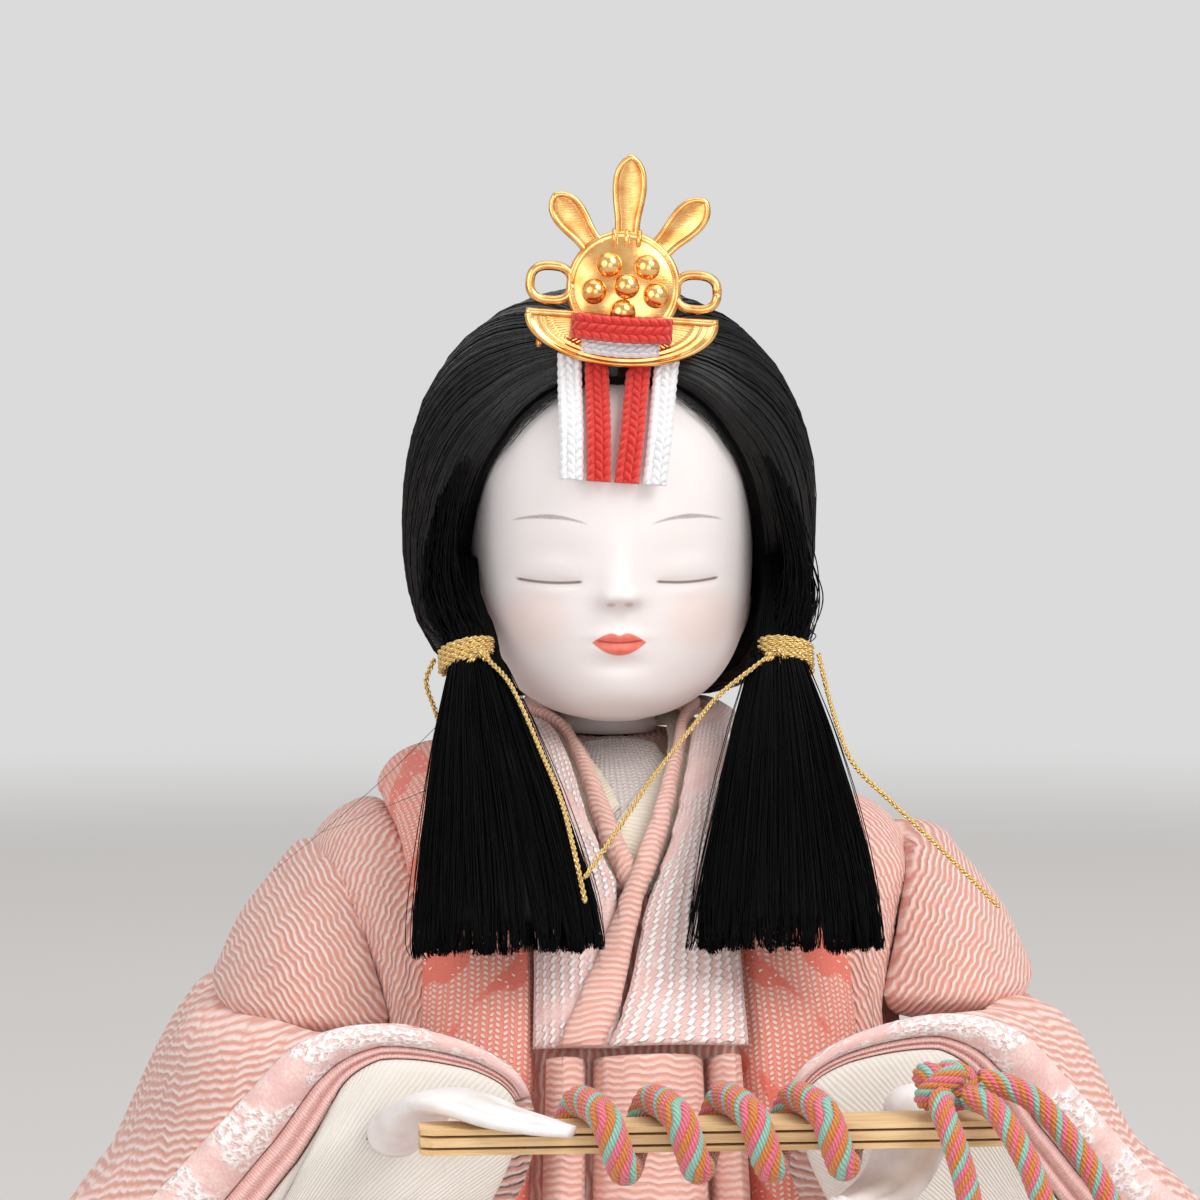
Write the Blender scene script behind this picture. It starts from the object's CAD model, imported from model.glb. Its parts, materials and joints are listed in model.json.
"""Looks of the hina doll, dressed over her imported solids.

Metres, in the frame of the solids. Left and right are the viewer's. A table of body shares is scaled by BODY.
"""

import json
import math

import bmesh
import bpy
import numpy as np
from mathutils import Matrix, Vector
from mathutils.bvhtree import BVHTree
from mathutils.interpolate import poly_3d_calc

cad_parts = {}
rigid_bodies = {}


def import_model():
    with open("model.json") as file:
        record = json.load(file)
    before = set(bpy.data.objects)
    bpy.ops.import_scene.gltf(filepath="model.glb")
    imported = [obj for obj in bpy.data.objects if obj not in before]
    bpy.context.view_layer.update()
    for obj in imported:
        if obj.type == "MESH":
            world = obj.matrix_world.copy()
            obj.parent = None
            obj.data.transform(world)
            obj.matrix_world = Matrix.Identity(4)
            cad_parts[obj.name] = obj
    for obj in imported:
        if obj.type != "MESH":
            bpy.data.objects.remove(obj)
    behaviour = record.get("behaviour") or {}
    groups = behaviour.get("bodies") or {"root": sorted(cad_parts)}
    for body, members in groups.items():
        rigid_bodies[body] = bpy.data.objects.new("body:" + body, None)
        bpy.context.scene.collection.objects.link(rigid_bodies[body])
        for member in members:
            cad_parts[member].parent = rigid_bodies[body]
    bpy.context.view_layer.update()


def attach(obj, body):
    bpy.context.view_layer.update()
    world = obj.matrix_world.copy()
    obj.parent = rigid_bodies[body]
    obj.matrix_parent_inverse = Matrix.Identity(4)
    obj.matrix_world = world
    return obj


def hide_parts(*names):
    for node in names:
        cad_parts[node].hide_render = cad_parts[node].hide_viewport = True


BODY = 0.100
GAP = 0.0003
CHIN = 0.1070
HEAD_YAW = math.radians(-3)
SIDES = (("left", -1), ("right", 1))
FORWARD = np.array([0, -1, 0])
MILLIMETRES = 1000

for old in list(bpy.data.objects):
    bpy.data.objects.remove(old, do_unlink=True)
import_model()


# Shapes


def spline(points, per_span, closed=False):
    """Catmull-Rom points through the given ones, as an array."""
    p = np.asarray(points, float)
    n = len(p)
    spans = n if closed else n - 1
    made = []
    for i in range(spans):
        if closed:
            p0, p1, p2, p3 = (p[(i + k - 1) % n] for k in range(4))
        else:
            p1, p2 = p[i], p[i + 1]
            p0 = p[i - 1] if i else 2 * p1 - p2
            p3 = p[i + 2] if i + 2 < n else 2 * p2 - p1
        t = (np.arange(per_span) / per_span)[:, None]
        made.append((2 * p1 + (p2 - p0) * t + (2 * p0 - 5 * p1 + 4 * p2 - p3) * t**2
                     + (3 * p1 - p0 - 3 * p2 + p3) * t**3) / 2)
    if not closed:
        made.append(p[-1:])
    return np.concatenate(made)


def distances(points):
    """Distance along a line to each of its points."""
    return np.concatenate([[0], np.cumsum(np.linalg.norm(np.diff(points, axis=0), axis=1))])


def even(points, count):
    """Points at equal steps along a line."""
    run = distances(points)
    at = np.linspace(0, run[-1], count)
    return np.stack([np.interp(at, run, points[:, k]) for k in range(3)], axis=1)


def between(values, at):
    """Rows of a table at places between its rows."""
    low = np.minimum(at.astype(int), len(values) - 2)
    part = (at - low)[..., None]
    return values[low] * (1 - part) + values[low + 1] * part


def body_points(shares, side=1):
    """Points from body shares, mirrored for the left."""
    return np.asarray(shares, float) * BODY * np.array([side, 1, 1])


def mirrored(shares):
    """The same points on the other side."""
    return [(-x, y, z) for x, y, z in shares]


def rounded(wave, power):
    """A sine or cosine raised to a power, its sign kept."""
    return np.sign(wave) * np.abs(wave) ** power


def oval(half_width, front, back, count, power=2.3):
    """Rounded plan outline, as x and y."""
    angle = 2 * math.pi * np.arange(count) / count
    depth = np.where(np.sin(angle) < 0, front, back)
    x = half_width * rounded(np.cos(angle), 2 / power)
    y = depth * rounded(np.sin(angle), 2 / power)
    return np.stack([x, y], axis=1)


def level(outline, height):
    """A plan outline as a ring at one height."""
    return np.column_stack([outline, np.full(len(outline), height)])


def drawn_in(ring, steps, axis=2):
    """Copies of a ring drawn in towards its middle, from steps of a share and a shift along an axis."""
    centre = ring.mean(axis=0)
    return [ring * (1 - share) + centre * share + np.eye(3)[axis] * shift for share, shift in steps]


def unit(v):
    """Vectors of length one."""
    v = np.asarray(v, float)
    return v / np.maximum(np.linalg.norm(v, axis=-1, keepdims=True), 1e-12)


def head_place(points):
    """Points of the head's own frame, turned as the head is turned."""
    p = np.asarray(points, float)
    c, s = math.cos(HEAD_YAW), math.sin(HEAD_YAW)
    return np.stack([p[..., 0] * c - p[..., 1] * s, p[..., 0] * s + p[..., 1] * c, p[..., 2]], axis=-1)


def add_mesh(name, verts, faces, materials, uv):
    """A mesh object; uv is one pair per face corner, in millimetres."""
    mesh = bpy.data.meshes.new(name)
    mesh.from_pydata([tuple(v) for v in verts], [], [tuple(f) for f in faces])
    layer = mesh.uv_layers.new(name="cloth")
    layer.data.foreach_set("uv", np.asarray(uv, np.float32).ravel())
    mesh.validate()
    return linked(name, mesh, materials)


def linked(name, mesh, materials):
    """An object of a mesh, smoothly shaded, in the scene."""
    mesh.shade_smooth()
    made = bpy.data.objects.new(name, mesh)
    bpy.context.scene.collection.objects.link(made)
    for material in materials:
        mesh.materials.append(material)
    return made


def grid_faces(rows, columns, closed):
    """Corner indices of a grid of quads."""
    r, c = np.meshgrid(np.arange(rows - 1), np.arange(columns if closed else columns - 1), indexing="ij")
    a = (r * columns + c).ravel()
    b = (r * columns + (c + 1) % columns).ravel()
    return np.stack([a, b, b + columns, a + columns], axis=1)


def grid_uv(rings, closed):
    """Distances round and along a grid, one pair per face corner, in millimetres."""
    rows, columns = rings.shape[:2]
    after = np.roll(rings, -1, axis=1) if closed else rings[:, 1:]
    before = rings if closed else rings[:, :-1]
    step = np.linalg.norm(after - before, axis=2).mean(axis=0)
    across = np.concatenate([[0], np.cumsum(step)])
    along = np.concatenate([[0], np.cumsum(np.linalg.norm(np.diff(rings, axis=0), axis=2).mean(axis=1))])
    last = columns if closed else columns - 1
    r, c = np.meshgrid(np.arange(rows - 1), np.arange(last), indexing="ij")
    u0, u1 = across[c].ravel(), across[c + 1].ravel()
    v0, v1 = along[r].ravel(), along[r + 1].ravel()
    corners = np.array([(u0, v0), (u1, v0), (u1, v1), (u0, v1)]).transpose(2, 0, 1)
    return corners.reshape(-1, 2) * MILLIMETRES


def loft(name, rings, material, closed=True):
    """Rings of equal count skinned into one piece with cloth coordinates; closed ones have filled ends."""
    rings = np.asarray(rings, float)
    rows, columns = rings.shape[:2]
    verts = rings.reshape(-1, 3)
    faces = grid_faces(rows, columns, closed).tolist()
    uv = grid_uv(rings, closed)
    for row in (0, rows - 1) if closed else ():
        ring, middle = rings[row], len(verts)
        centre = ring.mean(axis=0)
        verts = np.concatenate([verts, [centre]])
        wide = unit(ring[0] - centre)
        other = unit(np.cross(np.cross(wide, ring[columns // 4] - centre), wide))
        flat = (ring - centre) * MILLIMETRES
        places = np.stack([flat @ wide, flat @ other], axis=1)
        first, second = np.arange(columns), (np.arange(columns) + 1) % columns
        if row == 0:
            first, second = second, first
        faces += [(row * columns + a, row * columns + b, middle) for a, b in zip(first, second)]
        corners = np.stack([places[first], places[second], np.zeros((columns, 2))], axis=1)
        uv = np.concatenate([uv, corners.reshape(-1, 2)])
    return fix_normals(add_mesh(name, verts, faces, [material], uv))


def fix_normals(made):
    """Turns a closed piece's faces outwards."""
    bm = bmesh.new()
    bm.from_mesh(made.data)
    bmesh.ops.recalc_face_normals(bm, faces=bm.faces)
    bm.to_mesh(made.data)
    bm.free()
    return made


def frames_along(points):
    """Unit side and up at each place of a line, with no sudden turn."""
    t = unit(np.gradient(points, axis=0))
    side = np.zeros_like(t)
    start = np.array([0.0, 0, 1]) if abs(t[0][2]) < 0.9 else np.array([1.0, 0, 0])
    side[0] = unit(np.cross(t[0], start))
    for i in range(1, len(t)):
        side[i] = unit(side[i - 1] - t[i] * (side[i - 1] @ t[i]))
    return side, np.cross(t, side)


def tube_rings(points, radius, count):
    """Rings of a round tube; radius may be one number or one per point."""
    p = np.asarray(points, float)
    side, up = frames_along(p)
    radius = np.broadcast_to(radius, (len(p),))[:, None, None]
    angle = 2 * math.pi * np.arange(count) / count
    ring = side[:, None] * np.cos(angle)[None, :, None] + up[:, None] * np.sin(angle)[None, :, None]
    return p[:, None] + ring * radius


def many_tubes(name, groups, material, count=3):
    """Many thin strands as one mesh; each group is an array of lines and their radii."""
    verts, faces, offset = [], [], 0
    angle = 2 * math.pi * np.arange(count) / count
    for lines, radii in groups:
        number, steps = lines.shape[:2]
        t = unit(np.gradient(lines, axis=1))
        side = unit(np.cross(t, np.array([0.31, 0.82, 0.47])))
        up = np.cross(t, side)
        r = np.broadcast_to(radii, (number, steps))[:, :, None, None]
        ring = lines[:, :, None] + r * (side[:, :, None] * np.cos(angle)[None, None, :, None]
                                        + up[:, :, None] * np.sin(angle)[None, None, :, None])
        verts.append(ring.reshape(-1, 3))
        base = grid_faces(steps, count, True)
        shift = (np.arange(number) * steps * count)[:, None, None]
        faces.append((base[None] + shift).reshape(-1, 4) + offset)
        offset += number * steps * count
    verts, faces = np.concatenate(verts), np.concatenate(faces)
    mesh = bpy.data.meshes.new(name)
    mesh.vertices.add(len(verts))
    mesh.vertices.foreach_set("co", verts.astype(np.float32).ravel())
    mesh.loops.add(faces.size)
    mesh.loops.foreach_set("vertex_index", faces.astype(np.int32).ravel())
    mesh.polygons.add(len(faces))
    mesh.polygons.foreach_set("loop_start", np.arange(len(faces), dtype=np.int32) * 4)
    mesh.update(calc_edges=True)
    return linked(name, mesh, [material])


class Surface:
    """A smooth closed surface that cloth and hair are laid on."""

    def __init__(self, rings):
        rows, columns = rings.shape[:2]
        verts = rings.reshape(-1, 3)
        faces = grid_faces(rows, columns, True).tolist()
        for row in (0, rows - 1):
            centre = len(verts)
            verts = np.concatenate([verts, [rings[row].mean(axis=0)]])
            for k in range(columns):
                pair = (row * columns + k, row * columns + (k + 1) % columns)
                faces.append((pair[1], pair[0], centre) if row == 0 else (pair[0], pair[1], centre))
        mesh = bpy.data.meshes.new("surface")
        mesh.from_pydata([tuple(v) for v in verts], [], faces)
        self.points = [v.co.copy() for v in mesh.vertices]
        self.normals = [Vector(n.vector) for n in mesh.vertex_normals]
        self.faces = faces
        self.tree = BVHTree.FromPolygons(self.points, faces)
        bpy.data.meshes.remove(mesh)
        middle = Vector(verts.mean(axis=0))
        outward = sum(normal.dot(point - middle) for normal, point in zip(self.normals, self.points))
        self.sign = 1 if outward > 0 else -1

    def at(self, point):
        """The nearest place on the surface and its outward normal."""
        spot, _, index, _ = self.tree.find_nearest(Vector(point))
        corners = self.faces[index]
        weights = poly_3d_calc([self.points[c] for c in corners], spot)
        normal = Vector()
        for c, w in zip(corners, weights):
            normal += self.normals[c] * w
        normal = normal.normalized() * self.sign
        return np.array(spot), np.array(normal)

    def pushed_out(self, point, distance):
        """The point itself, or its place this far off the surface if it lies nearer."""
        spot, normal = self.at(point)
        return spot + normal * distance if (point - spot) @ normal < distance else point

    def cleared(self, rings, distance):
        """Rings with every point at least this far off the surface."""
        return np.array([[self.pushed_out(point, distance) for point in ring] for ring in rings])


def ripple(points, scale, seed):
    """A smooth made-up height between -1 and 1 at each point, from a few crossing waves."""
    own = np.random.default_rng(seed)
    total = np.zeros(points.shape[:-1])
    for _ in range(7):
        way = unit(own.normal(size=3)) * (0.6 + 1.2 * own.random()) / scale
        total += np.sin(points @ way * 2 * math.pi + own.random() * 6.28)
    return total / 4


def rumple(rings, height, scale, seed):
    """Small folds in a loft, pushed in and out from the middle of each ring."""
    out = unit(rings - rings.mean(axis=1, keepdims=True))
    return rings + out * (ripple(rings, scale, seed) * height)[..., None]


STRAP_SPAN = 12
STRAP_FOLD_SCALE = 0.012


def strap_height(share, round_share):
    """Share of the full thickness across a padded strap: a rolled edge and a gentle crown."""
    near = 1 - abs(2 * share - 1)
    roll = (1 - (1 - min(near * 5, 1)) ** 2) ** 0.5
    return max(0.05, round_share * roll + (1 - round_share) * (1 - (1 - near) ** 2.2))


def strap(name, surface, edges, base, thickness, material, across=20, round_share=0.55, fold=0.0, seed=1):
    """Padded cloth laid on a surface between two edges; base is its height off it at each end."""
    inner_line, outer_line = (spline(edge, STRAP_SPAN) for edge in edges)
    shares = (1 - np.cos(np.linspace(0, math.pi, across + 1))) / 2
    heights = [thickness * strap_height(share, round_share) for share in shares]
    rings = []
    for inner, outer, lift in zip(inner_line, outer_line, np.linspace(*base, len(inner_line))):
        top, under = [], []
        for share, height in zip(shares, heights):
            spot, normal = surface.at(inner * (1 - share) + outer * share)
            top.append(spot + normal * (lift + height))
            under.append(spot + normal * lift)
        rings.append(top + under[::-1])
    rings = np.array(rings)
    if fold:
        top = rings[:, : across + 1]
        middle = np.sin(shares * math.pi)[None, :] ** 0.5
        out = unit(top - rings[:, across + 1:][:, ::-1])
        rise = ripple(top, STRAP_FOLD_SCALE, seed) * middle * fold
        rings[:, : across + 1] += out * rise[..., None]
    return loft(name, rings, material)


# Tables of shares, and routes in metres

TRUNK_SHARES = (
    (0.076, 0.43, 0.36, 0.31),
    (0.20, 0.42, 0.40, 0.315),
    (0.35, 0.40, 0.425, 0.315),
    (0.50, 0.375, 0.43, 0.31),
    (0.60, 0.36, 0.415, 0.30),
    (0.70, 0.345, 0.395, 0.29),
    (0.76, 0.342, 0.37, 0.28),
    (0.82, 0.335, 0.335, 0.268),
    (0.88, 0.318, 0.30, 0.25),
    (0.93, 0.282, 0.26, 0.22),
    (0.97, 0.235, 0.215, 0.19),
    (0.995, 0.185, 0.175, 0.162),
    (1.012, 0.138, 0.132, 0.122),
    (1.026, 0.106, 0.103, 0.096),
    (1.036, 0.085, 0.082, 0.078),
)
KNIT_LEFT_SHARES = ((-0.05, -0.10, 1.06), (-0.085, -0.19, 1.03), (-0.09, -0.28, 0.98), (-0.08, -0.35, 0.92))
CREAM_INNER_SHARES = (
    (-0.010, -0.27, 1.032), (-0.040, -0.15, 1.07), (-0.062, -0.05, 1.05), (-0.045, 0.045, 1.05),
    (0, 0.065, 1.05), (0.045, 0.045, 1.05), (0.062, -0.05, 1.05), (0.060, -0.15, 1.07),
    (-0.003, -0.27, 1.028), (-0.045, -0.32, 0.98), (-0.07, -0.35, 0.94),
)
CREAM_OUTER_SHARES = (
    (-0.058, -0.32, 0.990), (-0.095, -0.14, 1.05), (-0.115, -0.03, 1.03), (-0.085, 0.09, 1.03),
    (0, 0.125, 1.03), (0.085, 0.09, 1.03), (0.115, -0.03, 1.03), (0.10, -0.14, 1.05),
    (0.06, -0.28, 1.01), (0.03, -0.34, 0.96), (0, -0.36, 0.92),
)
SALMON_INNER_SHARES = (
    (0.008, -0.36, 0.94), (-0.007, -0.34, 0.968), (-0.020, -0.30, 0.995), (-0.055, -0.14, 1.069),
    (-0.075, -0.04, 1.05), (-0.055, 0.06, 1.05), (0, 0.085, 1.05), (0.055, 0.06, 1.05),
    (0.075, -0.04, 1.05), (0.068, -0.14, 1.075), (0.029, -0.28, 1.015), (0.002, -0.34, 0.965),
    (-0.023, -0.38, 0.913), (-0.048, -0.40, 0.859), (-0.079, -0.42, 0.795), (-0.104, -0.43, 0.733),
)
SALMON_OUTER_SHARES = (
    (-0.012, -0.375, 0.915), (-0.031, -0.35, 0.955), (-0.049, -0.29, 1.002), (-0.069, -0.14, 1.072),
    (-0.092, -0.03, 1.04), (-0.07, 0.075, 1.04), (0, 0.105, 1.04), (0.07, 0.075, 1.04),
    (0.092, -0.03, 1.04), (0.082, -0.14, 1.075), (0.052, -0.28, 1.015), (0.031, -0.34, 0.965),
    (0.006, -0.38, 0.913), (-0.011, -0.40, 0.859), (-0.027, -0.42, 0.795), (-0.051, -0.43, 0.733),
)
BROCADE_INNER_SHARES = (
    (-0.03, -0.43, 0.733), (-0.027, -0.40, 0.84), (-0.027, -0.37, 0.93), (-0.036, -0.35, 0.955),
    (-0.055, -0.29, 1.002), (-0.075, -0.14, 1.073), (-0.098, -0.03, 1.04), (-0.075, 0.082, 1.04),
    (0, 0.112, 1.04), (0.075, 0.082, 1.04), (0.098, -0.03, 1.04), (0.088, -0.14, 1.075),
    (0.058, -0.28, 1.015), (0.037, -0.34, 0.965), (0.012, -0.38, 0.913), (-0.005, -0.40, 0.859),
    (-0.021, -0.42, 0.795), (-0.045, -0.43, 0.733),
)
BROCADE_OUTER_SHARES = (
    (-0.134, -0.42, 0.733), (-0.134, -0.40, 0.84), (-0.134, -0.36, 0.93), (-0.134, -0.32, 0.97),
    (-0.13, -0.25, 1.02), (-0.125, -0.12, 1.05), (-0.14, -0.02, 1.02), (-0.11, 0.11, 1.02),
    (0, 0.16, 1.02), (0.11, 0.11, 1.02), (0.14, -0.02, 1.02), (0.131, -0.12, 1.05),
    (0.121, -0.22, 1.03), (0.119, -0.30, 0.985), (0.118, -0.37, 0.93), (0.118, -0.40, 0.86),
    (0.117, -0.42, 0.795), (0.116, -0.43, 0.733),
)
BAND_INNER_SHARES = (
    (0.125, -0.43, 0.50), (0.125, -0.43, 0.62), (0.125, -0.43, 0.733), (0.125, -0.40, 0.86),
    (0.127, -0.33, 0.96), (0.145, -0.22, 1.02), (0.165, -0.11, 1.03), (0.165, -0.01, 1.03),
)
BAND_OUTER_SHARES = (
    (0.292, -0.38, 0.50), (0.292, -0.38, 0.62), (0.292, -0.37, 0.733), (0.292, -0.34, 0.84),
    (0.292, -0.28, 0.91), (0.292, -0.20, 0.96), (0.292, -0.11, 0.98), (0.292, -0.01, 0.985),
)
STRIP_INNER_SHARES = (
    (0.298, -0.37, 0.757), (0.298, -0.34, 0.84), (0.298, -0.28, 0.905), (0.300, -0.18, 0.95),
    (0.302, -0.06, 0.965), (0.302, 0.06, 0.96), (0.298, 0.16, 0.92), (0.292, 0.25, 0.84),
)
STRIP_OUTER_SHARES = (
    (0.325, -0.35, 0.757), (0.350, -0.30, 0.82), (0.370, -0.22, 0.865), (0.385, -0.13, 0.885),
    (0.390, -0.04, 0.89), (0.390, 0.05, 0.88), (0.380, 0.13, 0.85), (0.360, 0.20, 0.80),
)
BACK_PANEL_LEFT_SHARES = ((-0.25, 0.30, 0.98), (-0.25, 0.34, 0.86), (-0.25, 0.38, 0.72),
                          (-0.25, 0.40, 0.55), (-0.25, 0.40, 0.36))
UPPER_LOW_SHARES = (
    (0.30, -0.31), (0.36, -0.33), (0.42, -0.30), (0.465, -0.21), (0.487, -0.08), (0.483, 0.06),
    (0.45, 0.17), (0.40, 0.22), (0.345, 0.18), (0.33, 0.05), (0.33, -0.10), (0.31, -0.22),
)
UPPER_MIDDLE_SHARES = (
    (0.32, -0.26), (0.36, -0.27), (0.405, -0.24), (0.437, -0.16), (0.452, -0.05), (0.447, 0.06),
    (0.42, 0.15), (0.38, 0.18), (0.35, 0.15), (0.335, 0.04), (0.335, -0.07), (0.325, -0.17),
)
UPPER_HIGH_SHARES = (
    (0.34, -0.15), (0.355, -0.16), (0.375, -0.14), (0.392, -0.08), (0.398, -0.01), (0.394, 0.05),
    (0.38, 0.10), (0.365, 0.115), (0.35, 0.10), (0.34, 0.03), (0.34, -0.03), (0.338, -0.09),
)
SLEEVE_BACK_SHARES = (
    (0.40, 0.45), (0.40, 0.62), (0.43, 0.715), (0.475, 0.710), (0.515, 0.655), (0.58, 0.53),
    (0.67, 0.38), (0.78, 0.22), (0.86, 0.09), (0.875, 0.04), (0.85, 0.012), (0.74, 0.012),
    (0.64, 0.04), (0.54, 0.12), (0.46, 0.24), (0.41, 0.35),
)
SLEEVE_MIDDLE_SHARES = (
    (0.385, 0.60), (0.39, 0.71), (0.42, 0.745), (0.470, 0.743), (0.515, 0.715), (0.58, 0.60),
    (0.70, 0.48), (0.83, 0.30), (0.935, 0.12), (0.96, 0.045), (0.93, 0.012), (0.78, 0.012),
    (0.64, 0.05), (0.52, 0.16), (0.44, 0.32), (0.395, 0.48),
)
SLEEVE_MOUTH_SHARES = (
    (0.145, 0.700), (0.20, 0.755), (0.31, 0.785), (0.40, 0.765), (0.475, 0.690), (0.57, 0.585),
    (0.70, 0.47), (0.84, 0.30), (0.955, 0.115), (0.985, 0.045), (0.95, 0.012), (0.78, 0.012),
    (0.60, 0.06), (0.42, 0.20), (0.25, 0.42), (0.15, 0.60),
)
MOUTH_INSET_SHARES = (1, 1, 1, 1, 1, 1, 1, 0.85, 0.45, 0.25, 0.2, 0.2, 0.2, 0.2, 0.3, 0.6)
MOUTH_SLIM_SHARES = (0.18, 0.26, 0.40, 0.72, 0.92, 1, 1, 1, 1, 1, 1, 1, 1, 1, 1, 0.4)
PANEL_SHARES = (
    ("left", -0.126, -0.074),
    ("centre", -0.066, 0.071),
    ("right", 0.078, 0.117),
)
LAP_SHARES = ((0.075, 0.46, 0.66), (0.16, 0.42, 0.68), (0.26, 0.33, 0.66), (0.34, 0.26, 0.60),
              (0.388, 0.20, 0.53))
HAKAMA_SHARES = ((0.062, 0.26), (0.10, 0.29), (0.15, 0.27), (0.18, 0.20))
TRAIN_SHARES = ((0.332, 0.56, 0.15), (0.341, 0.42, 0.19), (0.385, 0.26, 0.25), (0.455, 0.12, 0.32),
                (0.56, 0.04, 0.38), (0.66, 0.022, 0.42))
HEAD_SHARES = (
    (0.0, 0.20, 0.66, -0.55), (0.022, 0.44, 0.765, -0.15), (0.068, 0.655, 0.857, 0.15),
    (0.136, 0.82, 0.905, 0.40), (0.227, 0.93, 0.937, 0.60), (0.318, 0.982, 0.96, 0.74),
    (0.432, 1.0, 0.984, 0.87), (0.545, 0.994, 1.0, 0.95), (0.659, 0.965, 0.992, 0.99),
    (0.773, 0.89, 0.93, 0.95), (0.886, 0.71, 0.775, 0.78), (0.955, 0.46, 0.56, 0.54),
    (0.99, 0.19, 0.30, 0.26),
)
HAIRLINE_DEGREES = ((0, 134), (22, 131), (50, 130), (77, 122), (100, 113), (122, 105), (138, 97), (156, 76),
                    (180, 55))
LOCK_SHARES = (
    (-0.33, -0.34, 0.16, 0.50), (-0.06, -0.08, 0.17, 0.66), (0.0, 0.0, 0.15, 0.62),
    (0.10, 0.06, 0.24, 0.80), (0.34, 0.26, 0.46, 1.0), (0.62, 0.50, 0.68, 1.05), (0.86, 0.76, 0.88, 1.0),
    (0.98, 0.94, 0.98, 0.9), (1.0, 1.0, 1.0, 0.7),
)
BACK_HAIR_SHARES = (
    (0.37, 0.0, 0.60, 1.1), (0.55, 0.07, 0.66, 1.2), (0.76, 0.17, 0.72, 1.25), (0.92, 0.31, 0.80, 1.2),
    (1.0, 0.50, 0.90, 1.1), (1.0, 0.75, 1.0, 0.9), (1.0, 1.0, 0.9, 0.5),
)
STRAY_ROUTES = (
    ((-0.0195, -0.0200, 0.1085), (-0.0290, -0.0250, 0.1000), (-0.0400, -0.0290, 0.0915)),
    ((-0.0200, -0.0240, 0.1010), (-0.0270, -0.0300, 0.0990), (-0.0345, -0.0330, 0.0965)),
)
PRONG_SHARES = ((-0.25, 0.66), (0.0, 0.66), (0.18, 0.72), (0.42, 0.92), (0.62, 1.0), (0.80, 0.88),
                (0.93, 0.52), (1.0, 0.10))
BOSS_SHARES = ((-0.29, 0.36), (0.38, 0.36), (0.04, 0.0), (-0.52, -0.12), (0.56, -0.12), (0.0, -0.45))
GOLD_ROUTES = {
    "gold_tail_a": (
        (-0.0154, -0.0228, 0.0083), (-0.0126, -0.0268, 0.0054), (-0.0095, -0.035, -0.0012),
        (-0.0075, -0.041, -0.006), (-0.0061, -0.0455, -0.0118), (-0.0051, -0.0472, -0.0166),
    ),
    "gold_tail_b": (
        (-0.02125, -0.0187, 0.0077), (-0.0222, -0.019, 0.005), (-0.0212, -0.0205, 0.0018),
        (-0.02, -0.0226, -0.002), (-0.0192, -0.025, -0.006), (-0.0188, -0.0282, -0.0105),
        (-0.0186, -0.0315, -0.015), (-0.0186, -0.0335, -0.0195),
    ),
    "gold_tail_c": (
        (0.0172, -0.0228, 0.0081), (0.0115, -0.0266, 0.0043), (0.0077, -0.0325, 0.001),
        (0.0028, -0.0392, -0.0038), (-0.0012, -0.0448, -0.0085), (-0.0053, -0.0494, -0.0135),
    ),
    "gold_tail_d": (
        (0.0234, -0.0205, 0.0082), (0.024, -0.0245, 0.0046), (0.0248, -0.0322, 0.0005),
        (0.0262, -0.0372, -0.0028), (0.0305, -0.0395, -0.007), (0.0368, -0.0405, -0.013),
        (0.0422, -0.041, -0.0185),
    ),
}
FAN_TAIL_ROUTES = {
    "fan_tail_a": (
        (0.0039, 0.0004, 0.0051), (0.0066, 0.00000, 0.0046), (0.0098, -0.001, 0.003),
        (0.0134, -0.0025, -0.001), (0.0169, -0.004, -0.0065), (0.0194, -0.005, -0.014),
        (0.0192, -0.0055, -0.024), (0.0184, -0.006, -0.034),
    ),
    "fan_tail_b": (
        (-0.0007, -0.0032, 0.004), (-0.0011, -0.0056, 0.0032), (0.00000, -0.0078, -0.0005),
        (0.0014, -0.0084, -0.006), (0.0024, -0.0085, -0.014), (0.0022, -0.0085, -0.024),
        (0.0014, -0.0085, -0.035),
    ),
    "fan_tail_c": (
        (0.0021, -0.0028, 0.004), (0.0044, -0.0054, 0.0032), (0.0069, -0.0078, -0.0005),
        (0.0092, -0.0087, -0.006), (0.0109, -0.0088, -0.014), (0.0106, -0.009, -0.024),
        (0.0099, -0.009, -0.033),
    ),
}
HAND_SHARES = {
    "left": (
        (0.300, -0.592, 0.668, 0.75, 1.4), (0.285, -0.640, 0.702, 0.95, 1.25),
        (0.262, -0.685, 0.735, 1.0, 0.95), (0.230, -0.725, 0.738, 0.95, 0.85),
        (0.195, -0.762, 0.731, 0.85, 0.75), (0.155, -0.792, 0.726, 0.65, 0.60),
        (0.125, -0.808, 0.723, 0.30, 0.45),
    ),
    "right": (
        (0.300, -0.592, 0.668, 0.75, 1.4), (0.275, -0.662, 0.702, 0.95, 1.3),
        (0.262, -0.680, 0.665, 1.0, 1.0), (0.238, -0.710, 0.630, 0.95, 0.85),
        (0.205, -0.755, 0.617, 0.85, 0.75), (0.175, -0.800, 0.620, 0.65, 0.6),
        (0.163, -0.815, 0.628, 0.35, 0.45),
    ),
}


# Materials


def srgb(red, green, blue):
    """A colour as a shader takes it, from eight-bit values."""
    made = []
    for value in (red, green, blue):
        share = value / 255
        made.append(share / 12.92 if share <= 0.04045 else ((share + 0.055) / 1.055) ** 2.4)
    return (*made, 1.0)


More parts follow.
